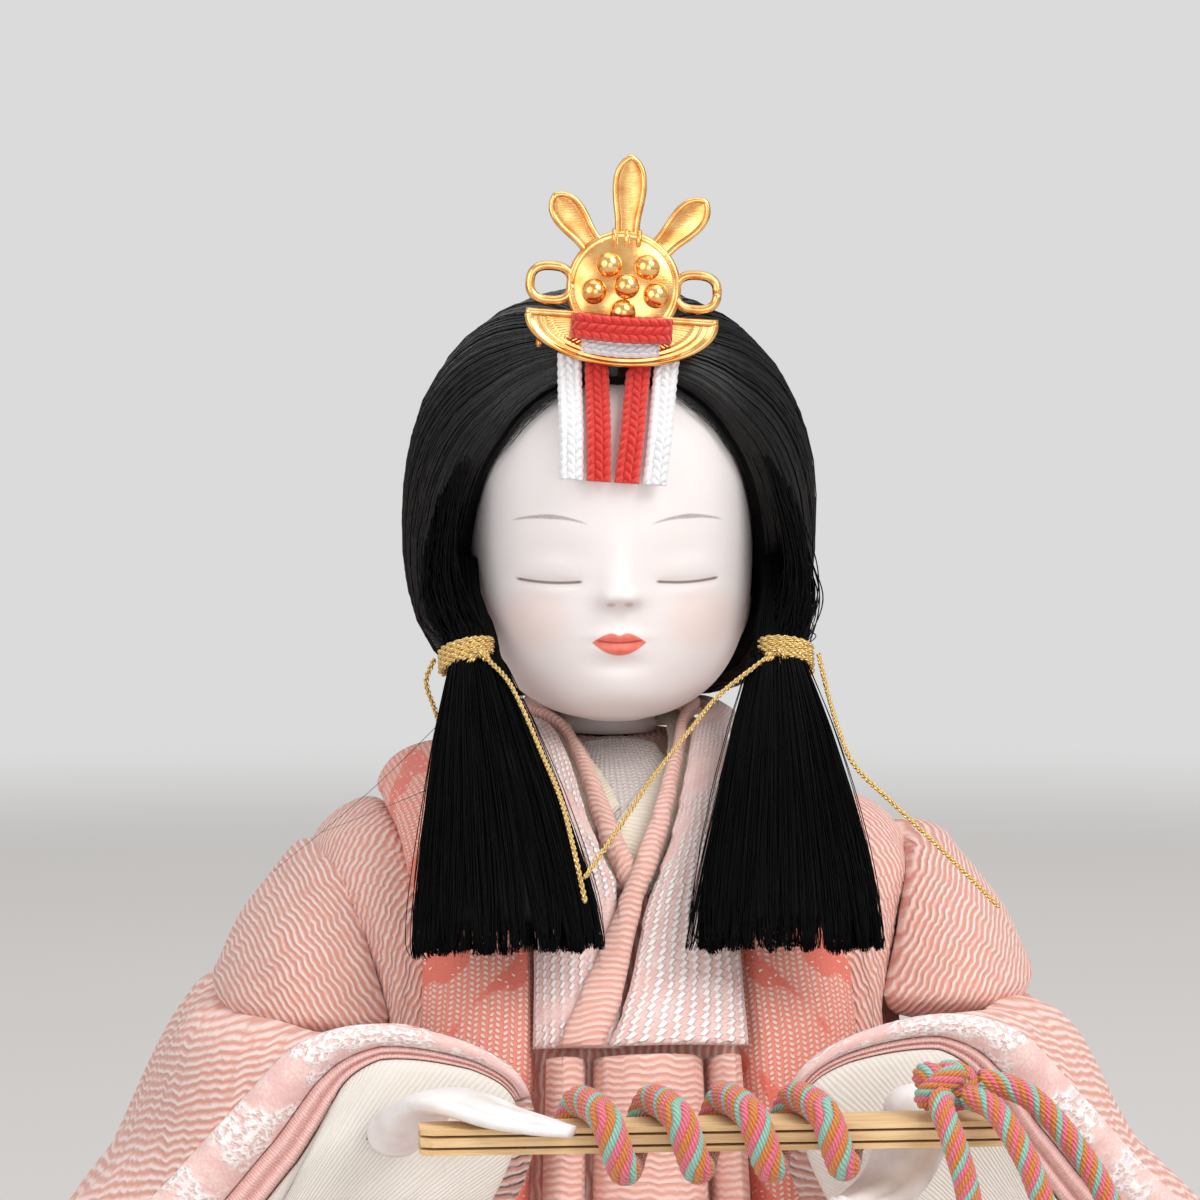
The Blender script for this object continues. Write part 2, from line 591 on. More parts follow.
class Value:
    """A number in a shader, with the arithmetic of one."""

    def __init__(self, tree, socket):
        self.tree, self.socket = tree, socket

    def op(self, kind, *others):
        """The result of a sum with other values or plain numbers."""
        made = self.tree.nodes.new("ShaderNodeMath")
        made.operation = kind
        for place, other in zip(made.inputs, (self, *others)):
            if isinstance(other, Value):
                self.tree.links.new(other.socket, place)
            else:
                place.default_value = other
        return Value(self.tree, made.outputs[0])

    def __add__(self, other):
        return self.op("ADD", other)

    def __sub__(self, other):
        return self.op("SUBTRACT", other)

    def __mul__(self, other):
        return self.op("MULTIPLY", other)

    def sin(self):
        return self.op("SINE")

    def size(self):
        return self.op("ABSOLUTE")

    def wave(self, pitch):
        """From 0 to 1 and back, once in each pitch."""
        return (self * (2 * math.pi / pitch)).sin() * 0.5 + 0.5

    def step(self, low, high):
        """Rises smoothly from 0 at low to 1 at high; falls where low is the greater."""
        made = self.tree.nodes.new("ShaderNodeMapRange")
        made.interpolation_type = "SMOOTHSTEP"
        flip = low > high
        self.tree.links.new(self.socket, made.inputs["Value"])
        made.inputs["From Min"].default_value = min(low, high)
        made.inputs["From Max"].default_value = max(low, high)
        made.inputs["To Min"].default_value = 1.0 if flip else 0.0
        made.inputs["To Max"].default_value = 0.0 if flip else 1.0
        return Value(self.tree, made.outputs[0])


class Look:
    """A procedural material in the making."""

    def __init__(self, name, roughness=0.7, metallic=0.0, sheen=0.0, soft=0.0):
        self.material = bpy.data.materials.new(name)
        self.material.use_nodes = True
        self.tree = self.material.node_tree
        self.shader = self.tree.nodes["Principled BSDF"]
        self.shader.inputs["Roughness"].default_value = roughness
        self.shader.inputs["Metallic"].default_value = metallic
        self.shader.inputs["Sheen Weight"].default_value = sheen
        self.shader.inputs["Sheen Roughness"].default_value = 0.5
        if soft:
            self.shader.inputs["Subsurface Weight"].default_value = soft
            self.shader.inputs["Subsurface Radius"].default_value = (0.0016, 0.0012, 0.0010)
            self.shader.inputs["Subsurface Scale"].default_value = 1.0

    def split(self, socket):
        """The parts of a vector."""
        made = self.tree.nodes.new("ShaderNodeSeparateXYZ")
        self.tree.links.new(socket, made.inputs[0])
        return [Value(self.tree, socket) for socket in made.outputs]

    def uv(self):
        """Millimetres round and along the cloth."""
        made = self.tree.nodes.new("ShaderNodeUVMap")
        made.uv_map = "cloth"
        return self.split(made.outputs[0])[:2]

    def place(self):
        """Millimetres in the row frame."""
        made = self.tree.nodes.new("ShaderNodeTexCoord")
        return [one * MILLIMETRES for one in self.split(made.outputs["Object"])]

    def vector(self, *parts):
        """A vector of three parts, each a number or a Value."""
        made = self.tree.nodes.new("ShaderNodeCombineXYZ")
        for place, part in zip(made.inputs, parts):
            if isinstance(part, Value):
                self.tree.links.new(part.socket, place)
            else:
                place.default_value = part
        return made.outputs[0]

    def noise(self, parts, scale=1.0, detail=2.0, centred=False):
        """Smooth noise at a place, from 0 to 1, or about 0 where centred."""
        made = self.tree.nodes.new("ShaderNodeTexNoise")
        self.tree.links.new(self.vector(*parts), made.inputs["Vector"])
        made.inputs["Scale"].default_value = scale
        made.inputs["Detail"].default_value = detail
        value = Value(self.tree, made.outputs[0])
        return value - 0.5 if centred else value

    def mix(self, first, second, share):
        """A colour between two; each may be a colour or the result of another mix."""
        made = self.tree.nodes.new("ShaderNodeMix")
        made.data_type = "RGBA"
        self.tree.links.new(share.socket, made.inputs["Factor"])
        for place, colour in ((made.inputs[6], first), (made.inputs[7], second)):
            if isinstance(colour, tuple):
                place.default_value = colour
            else:
                self.tree.links.new(colour, place)
        return made.outputs[2]

    def paint(self, colour, roughness=None):
        """Colour of the surface, and its roughness where that varies."""
        self.tree.links.new(colour, self.shader.inputs["Base Color"])
        if roughness is not None:
            self.tree.links.new(roughness.socket, self.shader.inputs["Roughness"])

    def bump(self, height, distance):
        """Relief of the given height in metres."""
        made = self.tree.nodes.new("ShaderNodeBump")
        made.inputs["Distance"].default_value = distance
        made.inputs["Strength"].default_value = 1.0
        self.tree.links.new(height.socket, made.inputs["Height"])
        self.tree.links.new(made.outputs[0], self.shader.inputs["Normal"])


def crepe(name, way, pitch=0.86, base=(230, 176, 162), light=(243, 214, 206), dark=(212, 140, 121),
          relief=0.00022):
    """Salmon crepe: fine wavy ridges across a way of the cloth, or of the row frame if it has three parts."""
    look = Look(name, 0.78, sheen=0.25)
    u, v = look.uv()
    if len(way) == 2:
        across, along = u * way[0] + v * way[1], u * way[1] - v * way[0]
    else:
        x, y, z = look.place()
        x = x.size()
        across = x * way[0] + y * way[1] + z * way[2]
        along = x * way[2] - z * way[0] + y * 0.3
    bend = look.noise((across * 0.04, along * 0.05, 1.0), detail=1.0, centred=True)
    small = look.noise((across * 0.16, along * 0.42, 4.0), detail=1.5, centred=True)
    ridge = (across + bend * 4.0 + small * 1.3).wave(pitch)
    power = look.noise((across * 0.9, along * 0.6, 9.0)).step(0.30, 0.62)
    thread = look.noise((across * 5.0, along * 3.0, 2.0))
    height = (ridge * (power * 0.55 + 0.45) + thread * 0.20).step(0.0, 1.0)
    cloud = look.noise((u * 0.10, v * 0.10, 6.0))
    colour = look.mix(srgb(*dark), srgb(*base), height.step(0.0, 0.30))
    colour = look.mix(colour, srgb(*light), height.step(0.40, 0.95) * (cloud * 0.5 + 0.55))
    look.paint(colour)
    look.bump(height, relief)
    return look.material


def coral_brocade():
    """Coral coat: rows of tiny light stitches, and darker leaf patches."""
    look = Look("coral_brocade", 0.72, sheen=0.2)
    u, v = look.uv()
    row = (v + u.wave(1.6) * 0.30).wave(0.62)
    dots = row * u.wave(0.80)
    leaf = look.noise((u * 0.13, v * 0.07, 3.0), detail=1.0)
    sway = (u * 0.35 + v * 0.30 + leaf * 6.0).wave(4.2)
    patch = (leaf * 1.2 + sway * 0.40 - 0.42).step(0.50, 0.54)
    stitch = dots.step(0.12, 0.42)
    few = look.noise((u * 0.7, v * 1.6, 8.0), detail=1.0).step(0.58, 0.62) * patch
    weave = look.noise((u * 4.0, v * 4.0, 5.0))
    colour = look.mix(srgb(236, 134, 114), srgb(243, 158, 140), weave)
    colour = look.mix(colour, srgb(252, 216, 204), stitch * (patch * -0.85 + 1.0) * 0.95)
    colour = look.mix(colour, srgb(231, 116, 99), patch * 0.85)
    colour = look.mix(colour, srgb(252, 228, 220), few * dots.step(0.30, 0.50))
    look.paint(colour)
    look.bump(stitch * 0.8 * (patch * -0.7 + 1.0) + weave * 0.25 + patch * 0.3, 0.00020)
    return look.material


def pale_brocade(name, cloudy=False):
    """Pale pink brocade: columns of slanted white stitches, or broad white patches, on a pink ground."""
    look = Look(name, 0.72, sheen=0.3)
    u, v = look.uv()
    weave = look.noise((u * 3.0, v * 3.0, 1.0), detail=3.0)
    soft = look.noise((u * 0.35, v * 0.3, 12.0))
    if cloudy:
        patch = look.noise((u * 0.16 + v * 0.05, v * 0.11, 6.0), detail=2.5).step(0.46, 0.53)
        tuft = look.noise((u * 1.5, v * 1.5, 2.0)).step(0.32, 0.60)
        stitch = patch * tuft
    else:
        column = (u + soft * 0.5).wave(0.86)
        slant = (v + u * 0.75).wave(0.95)
        zone = look.noise((u * 0.14, v * 0.10, 6.0), detail=1.5).step(0.38, 0.46)
        stitch = (column * 0.62 + slant * 0.5).step(0.42, 0.80) * (zone * 0.85 + 0.15)
    colour = look.mix(srgb(230, 190, 184), srgb(238, 208, 202), soft.step(0.36, 0.62))
    colour = look.mix(colour, srgb(222, 170, 162), weave.step(0.62, 0.36) * 0.5)
    colour = look.mix(colour, srgb(252, 245, 244), stitch * 0.92)
    look.paint(colour)
    look.bump(stitch * 0.9 + weave * 0.35 + soft * 0.3, 0.00022)
    return look.material


def piping():
    """Thin pink edging cloth with a silky cross grain."""
    look = Look("pink_piping", 0.6, sheen=0.3)
    u, v = look.uv()
    grain = (v + look.noise((u, v, 0.0), 0.6, 2.0, True) * 0.8).wave(0.34)
    cloud = look.noise((u * 0.4, v * 0.4, 3.0))
    look.paint(look.mix(srgb(229, 172, 164), srgb(243, 206, 200), grain * 0.5 + cloud * 0.5))
    look.bump(grain * 0.6 + cloud * 0.5, 0.00010)
    return look.material


def ribbed(name, pitch, base, shade, depth=0.00012, lengthwise=False, roughness=0.8):
    """Cloth with fine ribs across it, or along it."""
    look = Look(name, roughness, sheen=0.2)
    u, v = look.uv()
    across, along = (u, v) if lengthwise else (v, u)
    rib = (across + look.noise((across * 0.6, along * 0.25, 0.0), centred=True) * 0.5).wave(pitch)
    thread = look.noise((across * 2.5, along * 5.0, 7.0))
    cloud = look.noise((u * 0.09, v * 0.09, 5.0))
    colour = look.mix(srgb(*shade), srgb(*base), rib * 0.45 + thread * 0.35 + cloud.step(0.3, 0.7) * 0.3)
    look.paint(colour)
    look.bump(rib * 0.7 + thread * 0.4, depth)
    return look.material


def knitted():
    """White knit: rows of small beads."""
    look = Look("white_knit", 0.85, sheen=0.2)
    u, v = look.uv()
    bead = u.wave(0.62) * (v + u.wave(1.24) * 0.25).wave(0.66)
    thread = look.noise((u * 4.0, v * 4.0, 2.0))
    look.paint(look.mix(srgb(206, 192, 190), srgb(244, 238, 236), bead.step(0.1, 0.6) * 0.8 + thread * 0.2))
    look.bump(bead + thread * 0.2, 0.00022)
    return look.material


EYE_ACROSS, EYE_HEIGHT, BROW_HEIGHT, CHEEK_ACROSS, CHEEK_HEIGHT = 8.0, 17.05, 24.6, 10.0, 12.4
MOUTH_HEIGHT, NOSTRIL_ACROSS, NOSTRIL_HEIGHT = 10.05, 1.05, 14.55


def face_paint():
    """Face of shell white with painted brows, closed eyes and lips; the map holds the face's own plan."""
    look = Look("face_white", 0.42, soft=0.12)
    x, h = look.uv()
    side = x.size()
    grain = look.noise(tuple(look.place()), 1.4, 3.0)
    tint = look.noise(tuple(look.place()), 0.12, 2.0)
    colour = look.mix(srgb(236, 227, 225), srgb(242, 236, 235), tint * 0.8 + grain * 0.2)
    cheek_side, cheek_up = side - CHEEK_ACROSS, h - CHEEK_HEIGHT
    cheek = cheek_side * cheek_side * 0.030 + cheek_up * cheek_up * 0.05
    colour = look.mix(colour, srgb(240, 206, 199), cheek.step(1.0, 0.0) * 0.42)
    eye = side - EYE_ACROSS
    brow = (h - BROW_HEIGHT + eye * eye * 0.040).size()
    thin = eye.size() * -0.050 + 0.30
    mark = (brow - thin).step(0.10, -0.16) * eye.size().step(4.6, 3.4)
    hair = look.noise((x * 2.2, h * 5.0, 0.0))
    colour = look.mix(colour, srgb(122, 104, 98), mark * (hair * 0.5 + 0.35))
    lid = (h - EYE_HEIGHT + (eye * eye * -0.018 + 0.18)).size()
    slit = lid.step(0.26, 0.06) * eye.size().step(3.9, 3.3)
    colour = look.mix(colour, srgb(70, 52, 48), slit * 0.92)
    shade = lid.step(0.9, 0.1) * eye.size().step(4.3, 2.6)
    colour = look.mix(colour, srgb(196, 172, 164), shade * 0.30)
    wide = side * side
    top = wide * -0.135 + 1.30 - (wide * -2.4).op("EXPONENT") * 0.42
    foot = wide * 0.150 - 1.55
    centre = h - MOUTH_HEIGHT
    lips = (top - centre).step(-0.10, 0.14) * (centre - foot).step(-0.10, 0.14)
    satin = look.noise((x * 1.5, h * 0.6, 3.0))
    red = look.mix(srgb(226, 100, 84), srgb(243, 140, 124), satin)
    line = (centre + 0.02 - wide * 0.035).size().step(0.20, 0.04) * side.step(2.9, 2.2)
    red = look.mix(red, srgb(176, 56, 46), line * 0.85)
    colour = look.mix(colour, red, lips)
    nostril_side, nostril_up = side - NOSTRIL_ACROSS, h - NOSTRIL_HEIGHT
    nostril = nostril_side * nostril_side * 1.6 + nostril_up * nostril_up * 5.0
    colour = look.mix(colour, srgb(168, 132, 122), nostril.step(0.7, 0.1) * 0.45)
    look.paint(colour, grain * 0.10 + 0.38 - lips * 0.10)
    look.bump(grain * 0.5 + tint * 0.4 + mark * 0.2, 0.00003)
    return look.material


def shell_white():
    """Smooth shell-white finish of the hands, throat and ears."""
    look = Look("hand_white", 0.45, soft=0.1)
    x, y, z = look.place()
    grain = look.noise((x, y, z), 1.6, 3.0)
    tint = look.noise((x, y, z), 0.3, 2.0)
    look.paint(look.mix(srgb(226, 216, 212), srgb(238, 234, 233), tint.step(0.3, 0.6) * 0.7 + grain * 0.3))
    look.bump(grain, 0.00004)
    return look.material


def hair_black(name, gloss=0.2, roughness=0.36):
    """Black hair, its roughness a little uneven along the strands."""
    look = Look(name, roughness)
    x, y, z = look.place()
    lock = look.noise((x * 0.35, y * 0.35, z * 0.12))
    fine = look.noise((x * 3.0, y * 3.0, z * 0.6))
    look.shader.inputs["Specular IOR Level"].default_value = gloss
    look.paint(look.mix(srgb(1, 1, 2), srgb(8, 8, 9), lock * 0.5 + fine.step(0.45, 0.8) * 0.5),
               fine * 0.16 + (roughness - 0.08))
    look.bump(fine, 0.00008)
    return look.material


def gilt():
    """Polished gilt metal, faintly uneven."""
    look = Look("gilt", 0.2, metallic=1.0)
    x, y, z = look.place()
    cloud = look.noise((x, y, z), 0.5, 3.0)
    scratch = look.noise((x * 0.6, y, z * 5.0), 1.5, 3.0)
    look.paint(look.mix(srgb(224, 150, 80), srgb(248, 196, 128), cloud.step(0.25, 0.7)),
               scratch * 0.16 + 0.10)
    look.bump(cloud * 0.6 + scratch * 0.25, 0.00003)
    return look.material


def cord_thread(name, base, shade, roughness=0.6, metallic=0.0, pitch=0.5, relief=0.00014):
    """Twisted thread: u runs round the strand and v along it."""
    look = Look(name, roughness, metallic, sheen=0.0 if metallic else 0.3)
    u, v = look.uv()
    ply = (v + u * 0.9 + look.noise((u, v, 0.0), 0.5, 2.0, True) * 0.4).wave(pitch)
    fuzz = look.noise((u * 3.0, v * 3.0, 4.0))
    look.paint(look.mix(srgb(*shade), srgb(*base), ply * 0.7 + fuzz * 0.3), fuzz * 0.2 + (roughness - 0.1))
    look.bump(ply + fuzz * 0.3, relief)
    return look.material


SOLID_STRETCH = {"wood": (0.06, 1.6, 1.6), "felt": (0.9, 0.9, 0.9), "board": (0.5, 0.12, 0.8),
                 "straw": (0.9, 0.9, 0.07), "paper": (0.35, 0.35, 1.2), "wire": (2.5, 2.5, 0.3)}


def solid_look(name, base, shade, kind, roughness=0.7, metallic=0.0):
    """Materials of the plain inner pieces, in the row frame: wood, felt, board, straw, paper or wire."""
    look = Look(name, roughness, metallic)
    x, y, z = look.place()
    stretch = SOLID_STRETCH[kind]
    broad = look.noise((x * stretch[0], y * stretch[1], z * stretch[2]), detail=3.0)
    fine = look.noise((x * stretch[0] * 5, y * stretch[1] * 5, z * stretch[2] * 5), detail=3.0)
    height = broad * 0.6 + fine * 0.5
    look.paint(look.mix(srgb(*shade), srgb(*base), height.step(0.30, 0.72)), fine * 0.2 + (roughness - 0.1))
    look.bump(height, 0.00018 if kind in ("felt", "straw") else 0.00008)
    return look.material


LOOKS = {
    "crepe_long": crepe("salmon_crepe_long", (1.0, 0.0)),
    "crepe_cross": crepe("salmon_crepe_cross", (0.0, 1.0), 0.80, (232, 180, 167), (240, 206, 196),
                         (222, 162, 146), 0.00013),
    "crepe_strip": crepe("salmon_crepe_strip", (0.80, 0.60)),
    "crepe_arm": crepe("salmon_crepe_arm", (-0.80, 0.0, 0.60), 0.80),
    "crepe_sleeve": crepe("salmon_crepe_sleeve", (0.22, 0.16, 0.97), 0.95),
    "coral": coral_brocade(),
    "brocade": pale_brocade("pale_brocade"),
    "mouth": pale_brocade("mouth_brocade", True),
    "pink": piping(),
    "cream": ribbed("cream_silk", 0.62, (245, 237, 222), (222, 208, 186)),
    "lining": ribbed("cream_lining", 0.42, (235, 230, 223), (220, 212, 200), 0.00008, True),
    "knit": knitted(),
    "red": ribbed("red_silk", 0.55, (186, 44, 36), (132, 22, 20), 0.00012),
    "train": ribbed("train_silk", 0.60, (236, 228, 214), (206, 192, 170), 0.00010),
    "face": face_paint(),
    "hand": shell_white(),
    "hair": hair_black("hair_strands", 0.50),
    "lock": hair_black("lock_strands", 0.07),
    "under": hair_black("hair_ground", 0.1, 0.6),
    "gold": gilt(),
    "gold_cord": cord_thread("gold_thread", (253, 226, 160), (208, 164, 88), 0.34, 0.7, 0.42),
    "red_cord": cord_thread("red_thread", (240, 52, 32), (214, 32, 22), 0.6, 0.0, 0.24, 0.00004),
    "white_cord": cord_thread("white_thread", (254, 254, 254), (242, 242, 246), 0.6, 0.0, 0.24, 0.00003),
    "ply_pink": cord_thread("pink_thread", (244, 130, 146), (206, 74, 98), 0.6),
    "ply_orange": cord_thread("orange_thread", (232, 146, 58), (186, 96, 28), 0.6),
    "ply_mint": cord_thread("mint_thread", (166, 212, 194), (110, 168, 150), 0.6),
    "fringe": solid_look("fringe_thread", (242, 150, 140), (226, 140, 70), "board", 0.6),
    "wood": solid_look("fan_board", (232, 200, 152), (206, 164, 108), "wood", 0.6),
    "felt": solid_look("felt_red", (150, 58, 52), (104, 32, 30), "felt", 0.95),
    "board": solid_look("paper_board", (206, 184, 148), (172, 146, 108), "board", 0.8),
    "straw": solid_look("bundled_straw", (218, 196, 138), (160, 132, 78), "straw", 0.9),
    "paper": solid_look("paper_strip", (236, 232, 222), (208, 202, 190), "paper", 0.9),
    "wire": solid_look("soft_wire", (176, 176, 178), (110, 110, 114), "wire", 0.4, 0.9),
}


# Pieces


def place(made, body, slot, *nodes, fill=None):
    """Names a piece's body and slot, and the solids that it takes the place of."""
    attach(made, body)
    if nodes:
        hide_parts(*nodes)


def spline_rows(rows, per_span):
    """Rows of four shares, smoothed between the given ones."""
    firsts = spline([row[:3] for row in rows], per_span)
    lasts = spline([(row[0], row[3], row[3]) for row in rows], per_span)
    return np.column_stack([firsts, lasts[:, 1]])


def trunk_rings(per_span, count):
    """Level outlines of the trunk."""
    rows = spline_rows(TRUNK_SHARES, per_span)
    return np.array([level(oval(half * BODY, front * BODY, back * BODY, count), height * BODY)
                     for height, half, front, back in rows])


def make_robe():
    """Padded robe over the straw core."""
    rings = rumple(trunk_rings(8, 180), 0.00015, 0.02, 97)
    made = loft("robe_cloth", rings, LOOKS["crepe_long"])
    place(made, "figure", "salmon", "robe_body", fill=0.9)


def laid(name, surface, edges, thickness, look, slot, node, fill, base=GAP, side=1, **shape):
    """Padded cloth between two edges in body shares, in the place of one solid."""
    edges = [body_points(edge, side) for edge in edges]
    base = base if isinstance(base, tuple) else (base, base)
    made = strap(name, surface, edges, base, thickness, LOOKS[look], **shape)
    place(made, "figure", slot, node, fill=fill)


KNIT_THICK, CREAM_THICK, SALMON_THICK, BROCADE_THICK = 0.0008, 0.0010, 0.001495, 0.0016


def make_collars(surface):
    """Knit, cream, salmon and brocade collars, each over the last."""
    cream = GAP + KNIT_THICK + GAP
    under = cream + CREAM_THICK + GAP
    over = under + BROCADE_THICK + GAP
    laid("knit_cloth", surface, (KNIT_LEFT_SHARES, mirrored(KNIT_LEFT_SHARES)), KNIT_THICK, "knit", "knit",
         "knit_collar", 0.6)
    laid("cream_cloth", surface, (CREAM_INNER_SHARES, CREAM_OUTER_SHARES), CREAM_THICK, "cream", "cream",
         "cream_collar", 0.5, cream)
    laid("salmon_cloth", surface, (SALMON_INNER_SHARES, SALMON_OUTER_SHARES), SALMON_THICK, "crepe_cross",
         "salmon", "salmon_collar", 0.8, (under, over))
    laid("brocade_cloth", surface, (BROCADE_INNER_SHARES, BROCADE_OUTER_SHARES), BROCADE_THICK, "brocade",
         "brocade", "brocade_collar", 0.7, (under, over), fold=0.00012, seed=5)


BAND_THICK, STRIP_THICK, BACK_THICK, PANEL_THICK = 0.0044, 0.0042, 0.0018, 0.0054
PANEL_TOP, PANEL_FOOT, PANEL_DEPTH = 0.727, 0.40, 0.45


def make_coat(surface):
    """Coral bands and back, the salmon strips at the shoulders and the pleats at the waist."""
    strip_inner = [(0.272, -0.39, 0.690)] + [(x - 0.026, y, z) for x, y, z in STRIP_INNER_SHARES]
    strip_outer = [(0.372, -0.34, 0.690)] + [(x + 0.042, y, z) for x, y, z in STRIP_OUTER_SHARES]
    for name, side in SIDES:
        narrower = 0.014 if side < 0 else 0
        band_inner = [(x + narrower, y, z) for x, y, z in BAND_INNER_SHARES]
        laid("band_cloth_" + name, surface, (band_inner, BAND_OUTER_SHARES), BAND_THICK, "coral", "coral",
             "coral_band_" + name, 0.9, side=side, across=30, round_share=0.62, fold=0.00022, seed=11 + side)
        laid("strip_cloth_" + name, surface, (strip_inner, strip_outer), STRIP_THICK, "crepe_strip", "salmon",
             "shoulder_strip_" + name, 0.9, side=side, round_share=0.36, fold=0.00015, seed=21 + side)
    laid("back_cloth", surface, (BACK_PANEL_LEFT_SHARES, mirrored(BACK_PANEL_LEFT_SHARES)), BACK_THICK,
         "coral", "coral", "back_panel", 0.7, 2 * GAP, across=60, round_share=0.2, fold=0.00025, seed=31)
    for where, left, right in PANEL_SHARES:
        edges = [[(x, -PANEL_DEPTH, z) for z in np.linspace(PANEL_TOP, PANEL_FOOT, 5)] for x in (left, right)]
        laid("panel_cloth_" + where, surface, edges, PANEL_THICK, "crepe_cross", "salmon",
             "waist_panel_" + where, 0.9, across=34, round_share=0.5, fold=0.0002, seed=41)


SLEEVE_SPAN = 10


def outlines_between(tables, places, side, per_span):
    """Closed outlines along a sleeve, from tables of its section and a function that places each row."""
    columns = [spline(body_points(places(rows), side), per_span) for rows in zip(*tables)]
    return [spline(row, SLEEVE_SPAN, closed=True) for row in zip(*columns)]


ARM_LEVELS = (0.757, 0.83, 0.90)
ARM_TOP_STEPS = ((0.12, 0.0006), (0.35, 0.0011), (0.65, 0.0014), (0.9, 0.0015))
ARM_FOOT_STEPS = ((0.015, -0.0008), (0.05, -0.0017), (0.12, -0.0026), (0.25, -0.0034))
ARM_CLEAR, SLEEVE_CLEAR = 0.0039, 0.0053


def upper_sleeve(name, side, surface):
    """Padded arm between the shoulder and the elbow crease."""

    def places(trio):
        return [(x, y, z) for (x, y), z in zip(trio, ARM_LEVELS)]

    rings = outlines_between((UPPER_LOW_SHARES, UPPER_MIDDLE_SHARES, UPPER_HIGH_SHARES), places, side, 10)
    rings = drawn_in(rings[0], ARM_FOOT_STEPS)[::-1] + rings + drawn_in(rings[-1], ARM_TOP_STEPS)
    rings = rumple(np.array(rings), 0.00022, 0.014, 51 + side) + np.array([0.0013, 0, 0.0007 * side])
    if side > 0:
        inner = rings[..., 0].max(axis=1, keepdims=True) - rings[..., 0]
        rings[..., 0] -= inner * 0.12
    made = loft("upper_cloth_" + name, surface.cleared(rings, ARM_CLEAR), LOOKS["crepe_arm"])
    place(made, "figure", "salmon", "upper_sleeve_" + name, fill=0.9)


SLEEVE_DEPTHS = (0.23, -0.30, -0.55)
SLEEVE_TOP = 0.785
SLEEVE_LEAN = 0.15
SLEEVE_BACK_STEPS = ((0.02, 0.0020), (0.06, 0.0042), (0.12, 0.0062), (0.20, 0.0078), (0.32, 0.0090),
                     (0.55, 0.0098), (0.85, 0.0100))
FLOOR_CLEAR = 0.0008


def lower_sleeve(name, side, surface):
    """Padded sleeve from the elbow to the floor; gives back its mouth's outline."""

    def places(trio):
        leans = [SLEEVE_LEAN * (SLEEVE_TOP - z) * k / 2 for k, (_, z) in enumerate(trio)]
        return [(x, depth + lean, z) for (x, z), depth, lean in zip(trio, SLEEVE_DEPTHS, leans)]

    tables = (SLEEVE_BACK_SHARES, SLEEVE_MIDDLE_SHARES, SLEEVE_MOUTH_SHARES)
    rings = outlines_between(tables, places, side, 16)
    mouth = rings[-1]
    rings = drawn_in(rings[0], SLEEVE_BACK_STEPS, axis=1)[::-1] + rings
    rings = rumple(rumple(np.array(rings), 0.00035, 0.020, 61 + side), 0.0011, 0.034, 63 + side)
    rings[-1] = mouth
    rings[..., 2] = np.maximum(rings[..., 2], FLOOR_CLEAR)
    made = loft("lower_cloth_" + name, surface.cleared(rings, SLEEVE_CLEAR), LOOKS["crepe_sleeve"])
    place(made, "figure", "salmon", "lower_sleeve_" + name, fill=0.8)
    return surface.cleared([mouth], SLEEVE_CLEAR)[0]


def inset_ring(ring, side, distance):
    """A mouth outline moved inwards in its own plane, least at the top and beside the body."""
    middle = ring.mean(axis=0)
    after = np.roll(ring, -1, axis=0)
    normal = unit(np.cross(ring - middle, after - middle).sum(axis=0)) * side
    along = unit(np.roll(ring, -3, axis=0) - np.roll(ring, 3, axis=0)) * side
    shares = np.array(MOUTH_INSET_SHARES) * np.array(MOUTH_SLIM_SHARES)
    shares = np.append(shares, shares[0])
    step = np.interp(np.arange(len(ring)) / SLEEVE_SPAN, np.arange(len(shares)), shares)
    return ring + np.cross(normal, along) * distance * step[:, None]


MOUTH_SPANS = 8


def mouth_layer(name, side, ring, start, width, thickness, profile, material, seed):
    """One layer along the sleeve mouth's upper edge; profile gives its height across."""
    last = MOUTH_SPANS * SLEEVE_SPAN
    at = np.arange(last + 1)
    shares = np.linspace(0, 1, 25)
    lines = [inset_ring(ring, side, start + width * share)[:last + 1] for share in shares]
    ease = np.minimum(1, np.minimum(at, last - at) / 4 + 0.3)
    waves = ripple(lines[12], 0.010, seed) * 0.00015
    slim = np.interp(at / SLEEVE_SPAN, np.arange(len(MOUTH_SLIM_SHARES)), MOUTH_SLIM_SHARES) ** 0.5
    top = []
    for line, share in zip(lines, shares):
        height = GAP + thickness * profile(share) * ease * slim + waves * math.sin(share * math.pi)
        top.append(line + FORWARD * height[:, None])
    under = [line + FORWARD * GAP * 0.3 for line in lines[::-1]]
    return loft(name, np.swapaxes(np.array(top + under), 0, 1), material)


def round_profile(share):
    """Height across one padded roll."""
    return max(0.04, 1 - abs(2 * share - 1) ** 3.4) ** 0.6 * (0.62 + 0.38 * math.sin(math.pi * share))


def twin_profile(share):
    """Height across two thin rolls side by side."""
    return max(0.10, abs(math.sin(2 * math.pi * share))) ** 0.6


LINING_SHARES = (0.0, 0.0, 0.01, 0.03, 0.07, 0.12, 0.2, 0.3, 0.4, 0.5, 0.6, 0.7, 0.8, 0.9, 0.97)


def lining(name, side, ring, inset):
    """Padded cream lining that fills the mouth inside its layers."""
    outline = inset_ring(ring, side, inset)
    middle = outline.mean(axis=0)
    rings = []
    for share in LINING_SHARES:
        rise = 0.0009 + 0.0021 * min(1, share / 0.3) ** 0.5 if rings else 0.0
        rings.append(outline * (1 - share) + middle * share + FORWARD * (GAP + rise))
    rings = np.array(rings)
    rise = ripple(rings * np.array([1, 1, 0.5]), 0.016, 71 + side)
    fade = np.minimum(1, np.arange(len(rings)) / 6)[:, None]
    rings += FORWARD * (rise * fade * 0.0004)[..., None]
    made = loft("lining_cloth_" + name, rings, LOOKS["lining"])
    place(made, "figure", "cream", "sleeve_lining_" + name, fill=0.7)


